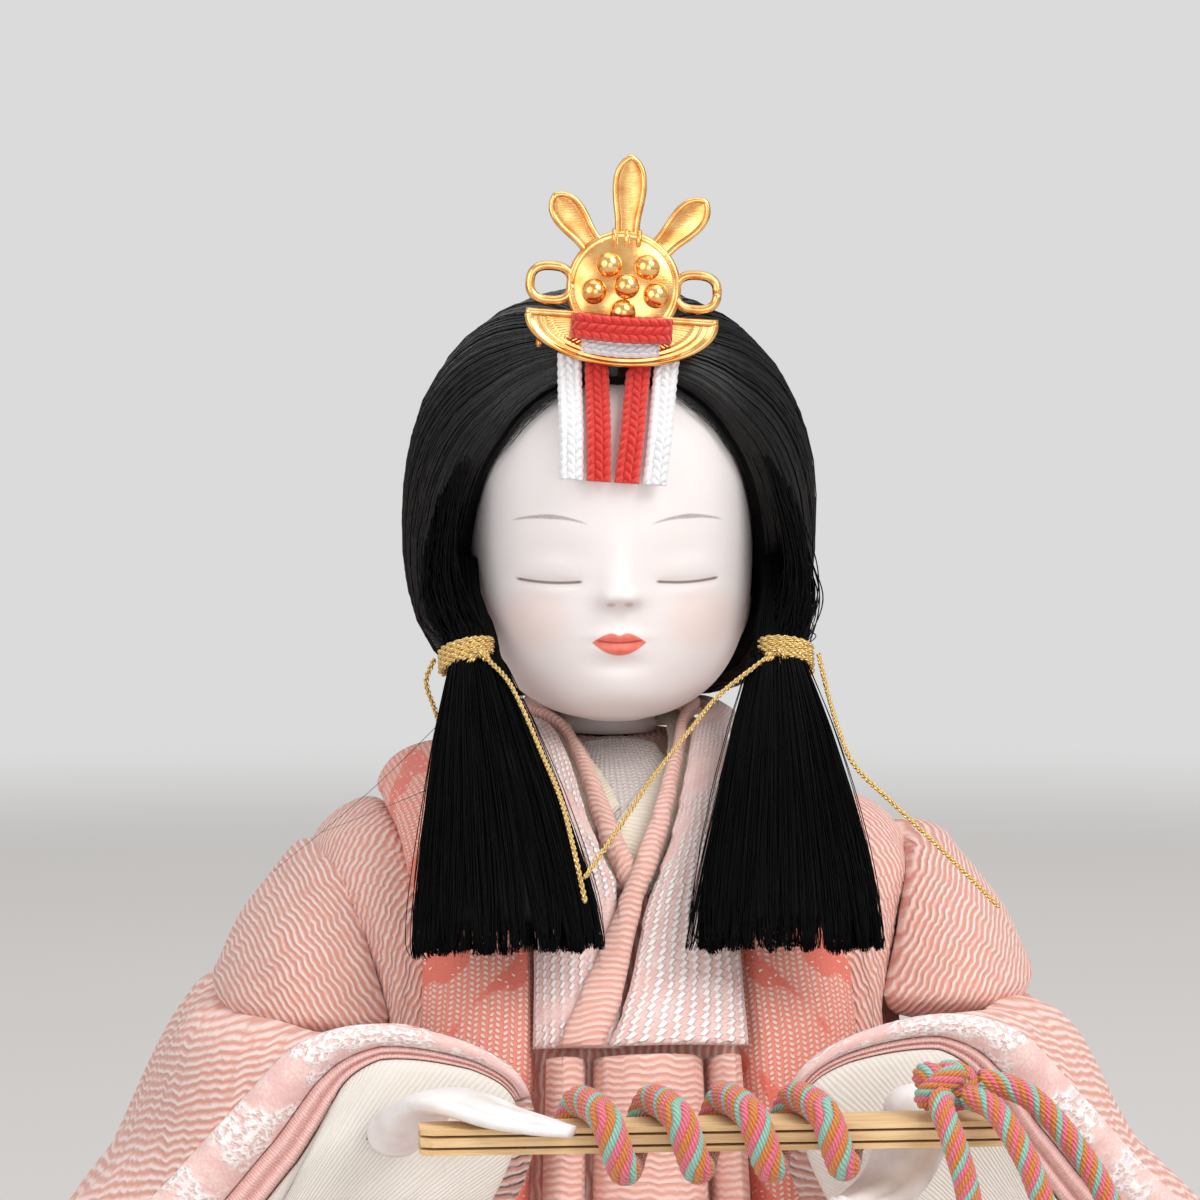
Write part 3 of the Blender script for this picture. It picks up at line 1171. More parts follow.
MOUTH_LAYERS = (
    ("brocade", 0.0, 0.0064, 0.0023, round_profile, "mouth", 81),
    ("pink", 0.0065, 0.0037, 0.0016, twin_profile, "pink", 82),
)
LINING_INSET = 0.0103


def make_sleeves(surface):
    """Both sleeves with their mouth layers."""
    for name, side in SIDES:
        upper_sleeve(name, side, surface)
        mouth = lower_sleeve(name, side, surface)
        for slot, start, width, thickness, profile, look, seed in MOUTH_LAYERS:
            made = mouth_layer(f"mouth_{slot}_{name}", side, mouth, start, width, thickness, profile,
                               LOOKS[look], seed)
            place(made, "figure", slot, f"sleeve_{slot}_{name}", fill=0.8)
        lining(name, side, mouth, LINING_INSET)


LAP_BACK = -0.044
LAP_TOP_STEPS = ((0.15, 0.0009), (0.5, 0.0016), (0.9, 0.0018))
LAP_CLEAR = 0.0009
FLAT_BACK = 0.001


def make_lap(surface):
    """Padded knees of the seated front."""
    rings = []
    for height, half, front in spline(LAP_SHARES, 8):
        outline = oval(half * BODY, front * BODY + LAP_BACK, FLAT_BACK, 160)
        rings.append(level(outline + np.array([0, LAP_BACK]), height * BODY))
    rings = rumple(np.array(rings + drawn_in(rings[-1], LAP_TOP_STEPS)), 0.0006, 0.022, 91)
    made = loft("lap_cloth", surface.cleared(rings, LAP_CLEAR), LOOKS["crepe_long"])
    place(made, "figure", "salmon", "lap", fill=0.8)


HEM_BACK = -0.0483
HEM_FOOT, HEM_RISE = 0.0005, 0.0016


def make_hem():
    """Padded brocade hem that lies on the floor before the knees."""
    outline = oval(0.58 * BODY, 0.90 * BODY + HEM_BACK, 0.0, 240)
    edge = outline[outline[:, 1] < -1e-6]
    edge = edge[np.argsort(edge[:, 0])]
    inner = np.column_stack([np.linspace(edge[0, 0], edge[-1, 0], len(edge)), np.zeros(len(edge))])
    top = []
    for share in np.linspace(0, 1, 15) ** 1.4:
        rise = HEM_FOOT + HEM_RISE * min(1.0, share / 0.07) ** 0.5
        top.append(level(edge * (1 - share) + inner * share + np.array([0, HEM_BACK]), rise))
    top = np.array(top)
    top[..., 2] += ripple(top, 0.02, 95) * 0.0002 * np.minimum(1, np.arange(len(top)) / 4)[:, None]
    under = top[::-1].copy()
    under[..., 2] = HEM_FOOT
    rings = np.swapaxes(np.concatenate([top, under])[::-1], 0, 1)
    made = loft("hem_cloth", rings, LOOKS["brocade"])
    place(made, "figure", "brocade", "hem_brocade", fill=0.6)


HAKAMA_FRONT, HAKAMA_BACK, HAKAMA_PLEATS = 0.0150, -0.069, 26


def make_trousers():
    """Red trousers that show below the knees, in narrow pleats."""
    pleat = 1 + 0.045 * np.abs(np.sin(np.linspace(0, HAKAMA_PLEATS * math.pi, 200)))
    rings = []
    for height, half, _ in spline([(*row, 0) for row in HAKAMA_SHARES], 6):
        outline = oval(half * BODY, HAKAMA_FRONT, FLAT_BACK, 200)
        outline[:, 1] = outline[:, 1] * pleat + HAKAMA_BACK
        rings.append(level(outline, height * BODY))
    made = loft("trousers_cloth", rings, LOOKS["red"])
    place(made, "figure", "red", "hakama", fill=0.7)


TRAIN_COLUMNS, TRAIN_PLEATS = 181, 6
TRAIN_THICK, TRAIN_PLEAT_HEIGHT = 0.0012, 0.0016


def make_train():
    """Pleated train from the waist to the floor behind."""
    line = spline([(half, depth, height) for depth, height, half in TRAIN_SHARES], 12)
    across = np.linspace(-1, 1, TRAIN_COLUMNS)
    pleat = (0.5 - 0.5 * np.cos(across * TRAIN_PLEATS * 2 * math.pi)) ** 0.8 * TRAIN_PLEAT_HEIGHT
    rings = []
    for (half, depth, height), run in zip(line * BODY, np.gradient(line, axis=0)):
        out = unit(np.array([0, -run[2], run[1]]))
        base = level(np.column_stack([across * half, np.full(TRAIN_COLUMNS, depth)]), height)
        top = base + out * (pleat[:, None] + TRAIN_THICK)
        under = base + out * pleat[:, None]
        rings.append(np.concatenate([top, under[::-1]]))
    rings = np.array(rings)
    made = loft("train_cloth", rings, LOOKS["train"])
    place(made, "figure", "train", "train")
    top = rings[:, :TRAIN_COLUMNS]


# Head


HEAD_HEIGHT, HEAD_HALF, FACE_DEPTH, NAPE_DEPTH = 0.0440, 0.0168, 0.0252, 0.0180
HEAD_POWER = 2 / 2.1
OFF_THE_FACE = 40.0


def bump(distance, reach):
    """A smooth unit bump that fades past its reach."""
    return np.exp(-((distance / reach) ** 2))


def face_relief(x, h):
    """How far the face stands out, in metres, at millimetres across and above the chin."""
    side = np.abs(x)
    eye = side - EYE_ACROSS
    bridge = np.clip((25.0 - h) / 9.6, 0, 1) ** 2.1 * (1 / (1 + np.exp(-(h - 14.6) / 0.34)))
    relief = 2.0 * bridge * bump(x, 1.9 + 0.5 * np.clip((20 - h) / 6, 0, 1))
    relief += 0.35 * bump(side - 1.5, 0.85) * bump(h - 15.3, 0.8)
    relief += 0.55 * bump(x, 2.9) * bump(h - 10.7, 0.85) + 0.62 * bump(x, 2.2) * bump(h - 9.2, 0.75)
    relief -= 0.30 * bump(x, 2.6) * bump(h - 10.02, 0.24)
    relief -= 0.14 * bump(x, 0.7) * bump(h - 12.6, 1.0)
    relief -= 0.28 * bump(x, 3.4) * bump(h - 7.2, 0.9)
    relief += 0.35 * bump(x, 4.0) * bump(h - 4.2, 2.4)
    relief -= 0.62 * bump(side - 7.8, 4.4) * bump(h - 18.0, 3.2)
    relief += 0.50 * bump(eye, 3.6) * bump(h - 18.6, 1.5)
    relief += 0.22 * bump(eye, 3.2) * bump(h - 15.9, 0.8)
    slit = h - EYE_HEIGHT - eye**2 * 0.018 + 0.18
    relief -= 0.20 * bump(slit, 0.22) * (1 / (1 + np.exp((np.abs(eye) - 3.6) / 0.2)))
    return relief / MILLIMETRES


def head_rings(per_span, count, detailed=True):
    """Level outlines of the head, chin to crown, closest together at the face; and their face places."""
    turn = np.linspace(-1, 1, count, endpoint=False)
    angle = -math.pi / 2 + math.pi * (0.35 * turn + 0.65 * turn**3) if detailed else math.pi * turn
    c, s = rounded(np.cos(angle), HEAD_POWER), rounded(np.sin(angle), HEAD_POWER)
    rings, maps = [], []
    for height_share, half, front, back in spline_rows(HEAD_SHARES, per_span):
        height = height_share * HEAD_HEIGHT
        middle = (back * NAPE_DEPTH - front * FACE_DEPTH) / 2
        depth = middle + front * FACE_DEPTH
        x, y = half * HEAD_HALF * c, depth * s
        facing = np.maximum(0, -y / depth)
        plan = np.column_stack([x, np.full(count, height)]) * MILLIMETRES
        relief = face_relief(*plan.T) * facing**0.7 if detailed else 0.0
        rings.append(level(np.column_stack([x, y + middle - relief]), CHIN + height))
        plan[facing == 0, 0] = OFF_THE_FACE
        maps.append(plan)
    return np.array(rings), np.array(maps)


def blob(centre, sizes, rows=12, columns=20):
    """Rings of a rounded lump."""
    lean = np.linspace(0.06, math.pi - 0.06, rows)
    turn = np.linspace(0, 2 * math.pi, columns, endpoint=False)
    unit_rings = np.stack([np.sin(lean)[:, None] * np.cos(turn), np.sin(lean)[:, None] * np.sin(turn),
                           np.repeat(np.cos(lean)[:, None], columns, axis=1)], axis=-1)
    return unit_rings * np.asarray(sizes) + np.asarray(centre)


EAR_PLACE, EAR_SIZES = (0.0158, -0.0040, 0.1180), (0.0013, 0.0020, 0.0034)
NECK_LINE = [(0, 0.0005, z) for z in np.linspace(0.1040, 0.1190, 14)]
NECK_RADIUS, NECK_FLARE = 0.0051, 0.0007


def make_head():
    """Head, throat and ears; the head's map carries places on the face, in millimetres."""
    rings, maps = head_rings(10, 300)
    made = loft("face_shell", head_place(rings), LOOKS["face"])
    corners = np.empty(len(made.data.loops), np.int32)
    made.data.loops.foreach_get("vertex_index", corners)
    places = np.concatenate([maps.reshape(-1, 2), np.full((2, 2), OFF_THE_FACE)])
    made.data.uv_layers["cloth"].data.foreach_set("uv", places[corners].astype(np.float32).ravel())
    place(made, "head", "face", "head")
    radius = NECK_RADIUS + NECK_FLARE * np.linspace(1, 0, len(NECK_LINE)) ** 2
    throat = loft("throat", tube_rings(head_place(NECK_LINE), radius, 40), LOOKS["hand"])
    place(throat, "head", "face")
    for name, side in SIDES:
        lobe = blob((side * EAR_PLACE[0], *EAR_PLACE[1:]), EAR_SIZES)
        place(loft("ear_" + name, head_place(lobe), LOOKS["hand"]), "head", "face")
    return Surface(head_rings(4, 90, False)[0])


# Hair


HAIR_MIDDLE = np.array([0, -0.0025, CHIN + 0.0220])
HAIR_HALF, HAIR_DEPTH, HAIR_ABOVE, HAIR_BELOW = 0.0246, 0.0262, 0.0278, 0.0232
COMB_SHAPE = (61, 34)
HAIR_THIN, HAIR_VARIES = 0.00007, 0.00003


def hairline(turn):
    """Degrees from straight back to the hairline, at degrees round from the top."""
    return np.interp(np.abs(turn), *zip(*HAIRLINE_DEGREES))


def hair_way(lean, turn):
    """Unit directions from the middle of the hair, in degrees from straight back and round from the top."""
    lean, turn = np.radians(lean), np.radians(turn)
    return np.stack([np.sin(lean) * np.sin(turn), np.cos(lean), np.sin(lean) * np.cos(turn)], axis=-1)


def hair_reach(way):
    """Distance to the outside of the hair along unit directions."""
    above = way[..., 2] > 0
    power = np.where(above, 2.25, 2.7)
    sizes = (HAIR_HALF, HAIR_DEPTH, np.where(above, HAIR_ABOVE, HAIR_BELOW))
    return sum((np.abs(way[..., k]) / size) ** power for k, size in enumerate(sizes)) ** (-1 / power)


def hair_lines(side, share, t):
    """Directions along combed hairs: share 0 at the hairline and 1 at the back's middle line."""
    turn = 180.0 * t
    front = hair_way(hairline(turn), turn * side)
    rise = np.radians(134 - 189 * t)
    back = np.stack([np.zeros_like(rise), np.cos(rise), np.sin(rise)], axis=-1)
    return unit(front * (1 - share)[..., None] + back * share[..., None])


def head_reach(head, way):
    """Distance from the middle of the hair to the head along each direction."""
    found = np.empty(way.shape[:-1])
    origin = Vector(HAIR_MIDDLE)
    for spot in np.ndindex(found.shape):
        hit = head.tree.ray_cast(origin, Vector(way[spot]))[0]
        found[spot] = (hit - origin).length if hit else NAPE_DEPTH
    return found


def hair_radius(head_far, way, share):
    """Distance of the hair's outside: thin at the hairline, full behind it."""
    rim = head_far + 0.0019
    full = np.clip(1 - (1 - share) ** 6, 0, 1) ** 0.5
    return rim + np.maximum(hair_reach(way) - rim, 0) * full


def from_middle(way, distance):
    """Places at a distance from the middle of the hair, turned with the head."""
    return head_place(HAIR_MIDDLE + way * distance[..., None])


def strand_radii(own, number, taper, thin=HAIR_THIN):
    """Radii of strands: each has its own thickness, and all taper alike."""
    return (thin + HAIR_VARIES * own.random(number))[:, None] * taper[None, :]


def make_hair(head):
    """Combed hair: a dark ground and strands over it, for each half of the head."""
    rows, columns = COMB_SHAPE
    share, t = np.meshgrid(np.linspace(0, 1, columns), np.linspace(0, 1, rows))
    for name, side in SIDES:
        way = hair_lines(side, share, t)
        far = head_reach(head, way)
        outer = from_middle(way, hair_radius(far, way, share) - 0.00035)
        inner = from_middle(way, far + 0.0004)
        ground = loft("hair_ground_" + name, np.concatenate([outer, inner[:, ::-1]], axis=1), LOOKS["under"])
        place(ground, "head", "hair")
        own = np.random.default_rng(100 + side)
        strands = [combed(side, far, own), loose(side, far, own)]
        made = many_tubes("hair_comb_" + name, strands, LOOKS["hair"])
        taken = ("hair_cap",) if name == "right" else ()
        place(made, "head", "hair", *taken)


def combed(side, grid_far, own):
    """Strands of one half combed close, in clumps."""
    number, steps, clumps = 1250, 26, 70
    base = (np.arange(number) + own.random(number)) / number
    clump = np.round(base * clumps)[:, None] / clumps
    pull = own.normal(size=number)[:, None] * 0.004
    t = np.linspace(0, 1, steps)[None, :] * (1.0 - own.random(number)[:, None] * 0.05)
    t = t + own.random(number)[:, None] * 0.012
    together = ((1 - t) * 0.35 + 0.12) * 0.25
    share = base[:, None] ** 1.25 * (1 - together) + clump**1.25 * together
    share = np.clip(share + pull * np.sin(t * 5 + own.random(number)[:, None] * 6), 0, 1)
    t = np.clip(t, 0, 1)
    way = hair_lines(side, share, t)
    wave = 0.00012 * np.sin(clump * 700) + 0.00010 * own.normal(size=number)[:, None]
    radius = hair_radius(bilinear(grid_far, share, t), way, share) + wave
    return from_middle(way, radius), strand_radii(own, number, np.ones(steps), 0.000075)


def loose(side, grid_far, own):
    """Single fine hairs of one half that lie loose on the forehead."""
    number, steps = 46, 14
    start = own.random(number) * 0.16 + 0.01
    long = own.random(number) * 0.16 + 0.10
    t = start[:, None] + long[:, None] * np.linspace(0, 1, steps)[None, :]
    lift = np.sin(np.linspace(0.2, math.pi * 0.9, steps))[None, :]
    lean = own.random(number)[:, None] * 0.075 * lift
    way = unit(hair_lines(side, np.zeros_like(t), t) + np.array([0, -1, -0.55]) * lean[..., None])
    far = bilinear(grid_far, np.zeros_like(t), t)
    radius = far + 0.0009 + 0.0002 * own.random(number)[:, None]
    return from_middle(way, radius), 0.000032 * np.linspace(1.1, 0.5, steps)[None, :]


def bilinear(grid, s, t):
    """Values of a grid at shares along its columns and rows."""
    rows, columns = grid.shape
    x, y = np.clip(s, 0, 1) * (columns - 1), np.clip(t, 0, 1) * (rows - 1)
    i, j = np.minimum(x.astype(int), columns - 2), np.minimum(y.astype(int), rows - 2)
    a, b = x - i, y - j
    return ((grid[j, i] * (1 - a) + grid[j, i + 1] * a) * (1 - b)
            + (grid[j + 1, i] * (1 - a) + grid[j + 1, i + 1] * a) * b)


TIE_SIDE, TIE_AHEAD, TIE_LEVEL = 0.0185, 0.0200, CHIN + 0.0080
LOCK_FORWARD, LOCK_LENGTH, LOCK_HALF, LOCK_THICK = 0.0245, 0.0310, 0.0110, 0.0024
LOCK_ROWS, LOCK_HAIRS, LOCK_STEPS, LOCK_TUFTS = 46, 1700, 34, 70
ACROSS = np.array([1.0, 0, 0])


def lock_middle(side, forward, down):
    """Middle of a side lock, at shares ahead of its tie and below it."""
    ahead = TIE_AHEAD + LOCK_FORWARD * forward
    across = side * (TIE_SIDE - 0.0025 * max(forward, 0)) + 0.05 * ahead
    return across, -ahead, TIE_LEVEL - LOCK_LENGTH * down


def lock_rows(side):
    """Middles, half widths and half thicknesses down a side lock."""
    middles = spline([lock_middle(side, forward, down) for forward, down, _, _ in LOCK_SHARES], 10)
    sizes = spline([(half * LOCK_HALF, thick * LOCK_THICK, 0.0) for _, _, half, thick in LOCK_SHARES], 10)
    pick = np.linspace(0, len(middles) - 1, LOCK_ROWS).astype(int)
    return middles[pick], np.maximum(sizes[pick, :2], 0.0002)


def fuller(points, across, down, side):
    """Lock points with the face's side of the lock swelled just below the tie."""
    inner = np.clip(0.5 - 0.5 * side * across, 0, 1) ** 1.5
    below = (down - 0.06) / 0.20
    swell = np.where(below > 0, below * np.exp(1 - below), 0)
    moved = points.copy()
    moved[..., 0] -= side * 0.0021 * inner * swell
    return moved


def lock_ground(side, middles, sizes, out):
    """Dark inside of a lock, a little slimmer and shorter than its hairs."""
    ring = oval(1, 1, 1, 40)
    rings = (middles[:, None] + ACROSS * (ring[:, 0] * sizes[:, :1] * 0.86)[..., None]
             + out[:, None] * (ring[:, 1] * sizes[:, 1:] * 0.80)[..., None])
    return fuller(rings, ring[None, :, 0], np.linspace(0, 1, len(middles))[:, None], side)[:-7]


def lock_hairs(side, middles, sizes, out, own):
    """Hairs of a lock, drawn together in tufts at their ends and cut at a slight slope."""
    number, last = LOCK_HAIRS, len(middles) - 1
    turn = own.random(number) * 2 * math.pi
    deep = np.sqrt(own.random(number)) * 0.5 + 0.5
    deep = np.where(own.random(number) < 0.12, deep * (1 + own.random(number) * 0.16), deep)
    spots = np.column_stack([rounded(np.cos(turn), 0.87) * deep, rounded(np.sin(turn), 0.87) * deep])
    tufts = spots[own.integers(0, number, LOCK_TUFTS)]
    mine = ((spots[:, None] - tufts) ** 2).sum(axis=2).argmin(axis=1)
    across = spots[:, 0]
    short = (1.0 - 0.080 * own.random(LOCK_TUFTS))[mine] - np.abs(own.normal(size=number)) * 0.016
    slope = 0.030 if side < 0 else 0.014
    short += slope * side * across - 0.015 * np.sin(19 * across + 2 * side) - 0.014 * np.sin(8 * across)
    short = np.where(own.random(number) < 0.25, short * (0.88 + 0.12 * own.random(number)), short)
    steps = np.linspace(0, 1, LOCK_STEPS)[None, :]
    at = steps * short[:, None] * last
    size = between(sizes, at)
    stray = np.sin(at * 0.11 + own.random(number)[:, None] * 6) * 0.035
    pull = 0.75 * steps**6
    across, over = (spots[:, k, None] * (1 - pull) + tufts[mine, k, None] * pull for k in (0, 1))
    lines = (between(middles, at) + ACROSS * ((across + stray) * size[..., 0])[..., None]
             + between(out, at) * (over * size[..., 1])[..., None])
    return head_place(fuller(lines, across, at / last, side))


def make_locks():
    """Tied side locks, with the gold cord round each."""
    for name, side in SIDES:
        middles, sizes = lock_rows(side)
        out = unit(np.cross(unit(np.gradient(middles, axis=0)), ACROSS))
        ground = head_place(lock_ground(side, middles, sizes, out))
        place(loft("lock_ground_" + name, ground, LOOKS["under"]), "head", "hair")
        own = np.random.default_rng(200 + side)
        hairs = lock_hairs(side, middles, sizes, out, own)
        radii = strand_radii(own, LOCK_HAIRS, np.linspace(1, 0.6, LOCK_STEPS))
        fed = feeders(side, middles[8:14], own)
        made = many_tubes("lock_hair_" + name, [(hairs, radii), fed], LOOKS["lock"])
        place(made, "head", "hair", "side_lock_" + name)
        make_tie(name, side)


def feeders(side, ties, own):
    """Hairs that come down from the temple and go into the tie."""
    number, steps = 420, 22
    turn = (62 + 66 * own.random(number)) * side
    back = own.random(number) ** 1.5 * 16
    way = hair_way(hairline(turn) - back, turn)
    start = HAIR_MIDDLE + way * (hair_reach(way) * 0.90)[:, None]
    end = ties[0] + np.column_stack([own.normal(size=number) * 0.0010, own.normal(size=number) * 0.0007,
                                     own.random(number) * 0.001])
    foot = ties[-1] + own.normal(size=(number, 3)) * 0.0005
    bulge = unit(way * np.array([1, 0.55, 0])) * (0.0013 + 0.0011 * own.random(number))[:, None]
    middle = start * 0.45 + end * 0.55 + bulge
    lines = [even(spline(route, 8), steps) for route in zip(start, middle, end, foot)]
    return head_place(lines), strand_radii(own, number, np.ones(steps))


TIE_TURNS, TIE_STEPS = 4, 40
TIE_HALF, TIE_DEPTH, TIE_HEIGHT = 0.0030, 0.0024, 0.0027
TIE_CORD, TIE_PITCH = 0.00048, 0.0020
KNOT_CORD, KNOT_PITCH, KNOT_SIZE = 0.00050, 0.0018, 0.00085


def make_tie(name, side):
    """Gold cord wound four times round a lock, with a small knot in front."""
    middle = np.array(lock_middle(side, 0, 0))
    run = unit(np.array([0, -0.45, -0.9]))
    front = np.cross(run, ACROSS)
    step = np.arange(TIE_TURNS * TIE_STEPS + 1) / TIE_STEPS
    angle = 2 * math.pi * step
    rise = (step / TIE_TURNS - 0.5) * TIE_HEIGHT + 0.0005 * np.cos(angle) * side
    points = (middle + ACROSS * (np.cos(angle) * TIE_HALF)[:, None]
              + front * (np.sin(angle) * TIE_DEPTH)[:, None] + run * rise[:, None])
    loop = 2 * math.pi * np.arange(61) / 60
    far = 1 + 0.35 * np.cos(3 * loop)
    ball = np.column_stack([np.cos(2 * loop) * far, np.sin(3 * loop) * 0.45, np.sin(2 * loop) * far])
    ball = ball * KNOT_SIZE + middle + np.array([side * -0.0012, -0.0026, 0.0])
    pieces = twisted(points, TIE_CORD, 2, TIE_PITCH) + twisted(ball, KNOT_CORD, 2, KNOT_PITCH)
    made = joined("tie_cord_" + name, [head_place(p) for p in pieces], [LOOKS["gold_cord"]])
    place(made, "head", "gold_cord", "lock_tie_" + name)


def twisted(points, radius, plies, pitch, sides=8, share=0.55):
    """Rings of the plies of a twisted cord along a line; share is a ply's part of the radius."""
    side, up = frames_along(points)
    run = distances(points)
    offset = radius * (1 - share)
    made = []
    for k in range(plies):
        angle = 2 * math.pi * (run / pitch + k / plies)
        line = points + side * (np.cos(angle) * offset)[:, None] + up * (np.sin(angle) * offset)[:, None]
        made.append(tube_rings(line, radius * share, sides))
    return made


def joined(name, shells, materials, slots=None):
    """Several lofts as one mesh, each with its own material slot where given."""
    verts, faces, uvs, marks, offset = [], [], [], [], 0
    for number, rings in enumerate(shells):
        rows, columns = rings.shape[:2]
        last = offset + (rows - 1) * columns
        verts.append(rings.reshape(-1, 3))
        quads = (grid_faces(rows, columns, True) + offset).tolist()
        faces += quads + [range(offset + columns - 1, offset - 1, -1), range(last, last + columns)]
        uvs += [grid_uv(rings, True), np.zeros((2 * columns, 2))]
        marks += [slots[number] if slots else 0] * (len(quads) + 2)
        offset += rows * columns
    made = add_mesh(name, np.concatenate(verts), faces, materials, np.concatenate(uvs))
    made.data.polygons.foreach_set("material_index", marks)
    return fix_normals(made)


BACK_HAIR_DEPTH, BACK_HAIR_TOP, BACK_HAIR_LENGTH = 0.0388, CHIN + 0.0024, 0.046
BACK_HAIR_HALF, BACK_HAIR_THICK = 0.0105, 0.0026


def make_back_hair():
    """Hair that falls down the back from the nape."""
    middles = spline([(0.0, behind * BACK_HAIR_DEPTH, BACK_HAIR_TOP - BACK_HAIR_LENGTH * down)
                      for behind, down, _, _ in BACK_HAIR_SHARES], 6)
    sizes = spline([(half * BACK_HAIR_HALF, thick * BACK_HAIR_THICK, 0)
                    for _, _, half, thick in BACK_HAIR_SHARES], 6)
    ring = oval(0.92, 0.85, 0.85, 48)
    rings = np.array([level(ring * size[:2] + middle[:2], middle[2]) for middle, size in zip(middles, sizes)])
    place(loft("back_ground", head_place(rings[:-1]), LOOKS["under"]), "head", "hair")
    own = np.random.default_rng(300)
    number, steps = 800, 26
    turn = own.random(number) * 2 * math.pi
    deep = np.sqrt(own.random(number)) * 0.3 + 0.7
    short = 1 - own.random(number) ** 3 * 0.12
    at = np.linspace(0, 1, steps)[None, :] * short[:, None] * (len(middles) - 1)
    size = between(sizes, at)
    lines = between(middles, at)
    lines[..., 0] += (np.cos(turn) * deep)[:, None] * size[..., 0]
    lines[..., 1] += (np.sin(turn) * deep)[:, None] * size[..., 1]
    radii = strand_radii(own, number, np.ones(steps), 0.00009)
    made = many_tubes("back_strands", [(head_place(lines), radii)], LOOKS["hair"])
    place(made, "head", "hair", "back_hair")


def make_strays():
    """Two single hairs beside the left lock."""
    lines = head_place([spline(route, 12) for route in STRAY_ROUTES])
    fine = 0.000045 * np.linspace(1, 0.5, lines.shape[1])
    place(many_tubes("stray_hairs", [(lines, fine)], LOOKS["hair"]), "head", "hair")


GOLD_RADIUS, GOLD_PITCH = 0.00033, 0.0015


def make_gold_tails():
    """Stiff gold cord ends from the ties."""
    for name, route in GOLD_ROUTES.items():
        line = head_place(spline(np.array(route) + np.array([0, 0, CHIN]), 24))
        made = joined("cord_" + name, twisted(line, GOLD_RADIUS, 2, GOLD_PITCH, 7), [LOOKS["gold_cord"]])
        place(made, "head", "gold_cord", name)


# Crown, in its own frame: x across, y backwards and z up from the foot of its disc


CROWN = (Matrix.Rotation(HEAD_YAW, 4, "Z") @ Matrix.Translation((0, -0.0224, CHIN + 0.0418))
         @ Matrix.Rotation(math.radians(4), 4, "Y") @ Matrix.Rotation(math.radians(-10), 4, "X"))
PLATE_HALF = 0.00045
DISC_RADIUS, DISC_LEVEL, DISC_DOME = 0.0066, 0.0092, 0.0011
CRESCENT_HALF, CRESCENT_LEVEL = 0.0112, 0.0055
PRONG_LENGTH, PRONG_HALF, PRONG_THICK, PRONG_RIM = 0.0085, 0.0019, 0.00042, 0.00036
BOSS_SIZES = (0.00150, 0.00140, 0.00150)
CORD_LAYER = 0.0009


def crown_place(points):
    """Points of the crown's own frame in the row frame."""
    m = np.array(CROWN)
    return np.asarray(points, float) @ m[:3, :3].T + m[:3, 3]


def polar_plate(level_up, half, height, angle, relief, rows=34):
    """Rings of a round or half-round plate with relief on its front, from its middle outwards."""
    rings = []
    for r in np.linspace(0.02, 1, rows):
        x, z = r * half * np.cos(angle), level_up + r * height * np.sin(angle)
        rings.append(np.column_stack([x, -PLATE_HALF - relief(r, angle), z]))
    for front in (rings[-1], rings[0]):
        back = front.copy()
        back[:, 1] = PLATE_HALF
        rings.append(back)
    return np.array(rings)


def crescent_relief(r, angle):
    """Concentric rims and fine rays of the half-moon plate."""
    rim = 0.00042 * bump(r - 0.955, 0.035) + 0.00022 * bump(r - 0.84, 0.02) + 0.00018 * bump(r - 0.76, 0.015)
    return rim + 0.00006 * np.abs(np.sin(angle * 42)) * (0.2 < r < 0.74)


def disc_relief(r, angle):
    """Dome and thin raised rim of the disc."""
    return DISC_DOME * (1 - r * r) + 0.00020 * bump(r - 0.95, 0.04) + 0.00004 * r * np.cos(angle * 5)


def prong_shells(length, turn):
    """A paddle-shaped prong with a raised rim, turned about the disc's middle."""
    c, s = math.cos(turn), math.sin(turn)

    def turned(x, y, z):
        return x * c + z * s, y, -x * s + z * c + DISC_LEVEL

    rings, left, right = [], [], []
    for along, half, _ in spline([(*row, 0) for row in PRONG_SHARES], 6):
        z, w = DISC_RADIUS + along * length, half * PRONG_HALF
        rings.append([turned(x, y, z) for x, y in oval(w, PRONG_THICK, PRONG_THICK, 20)])
        left.append(turned(-w * 0.86, -PRONG_RIM, z))
        right.append(turned(w * 0.86, -PRONG_RIM, z))
    return [np.array(rings), tube_rings(spline(left + right[::-1], 2), PRONG_RIM, 10)]


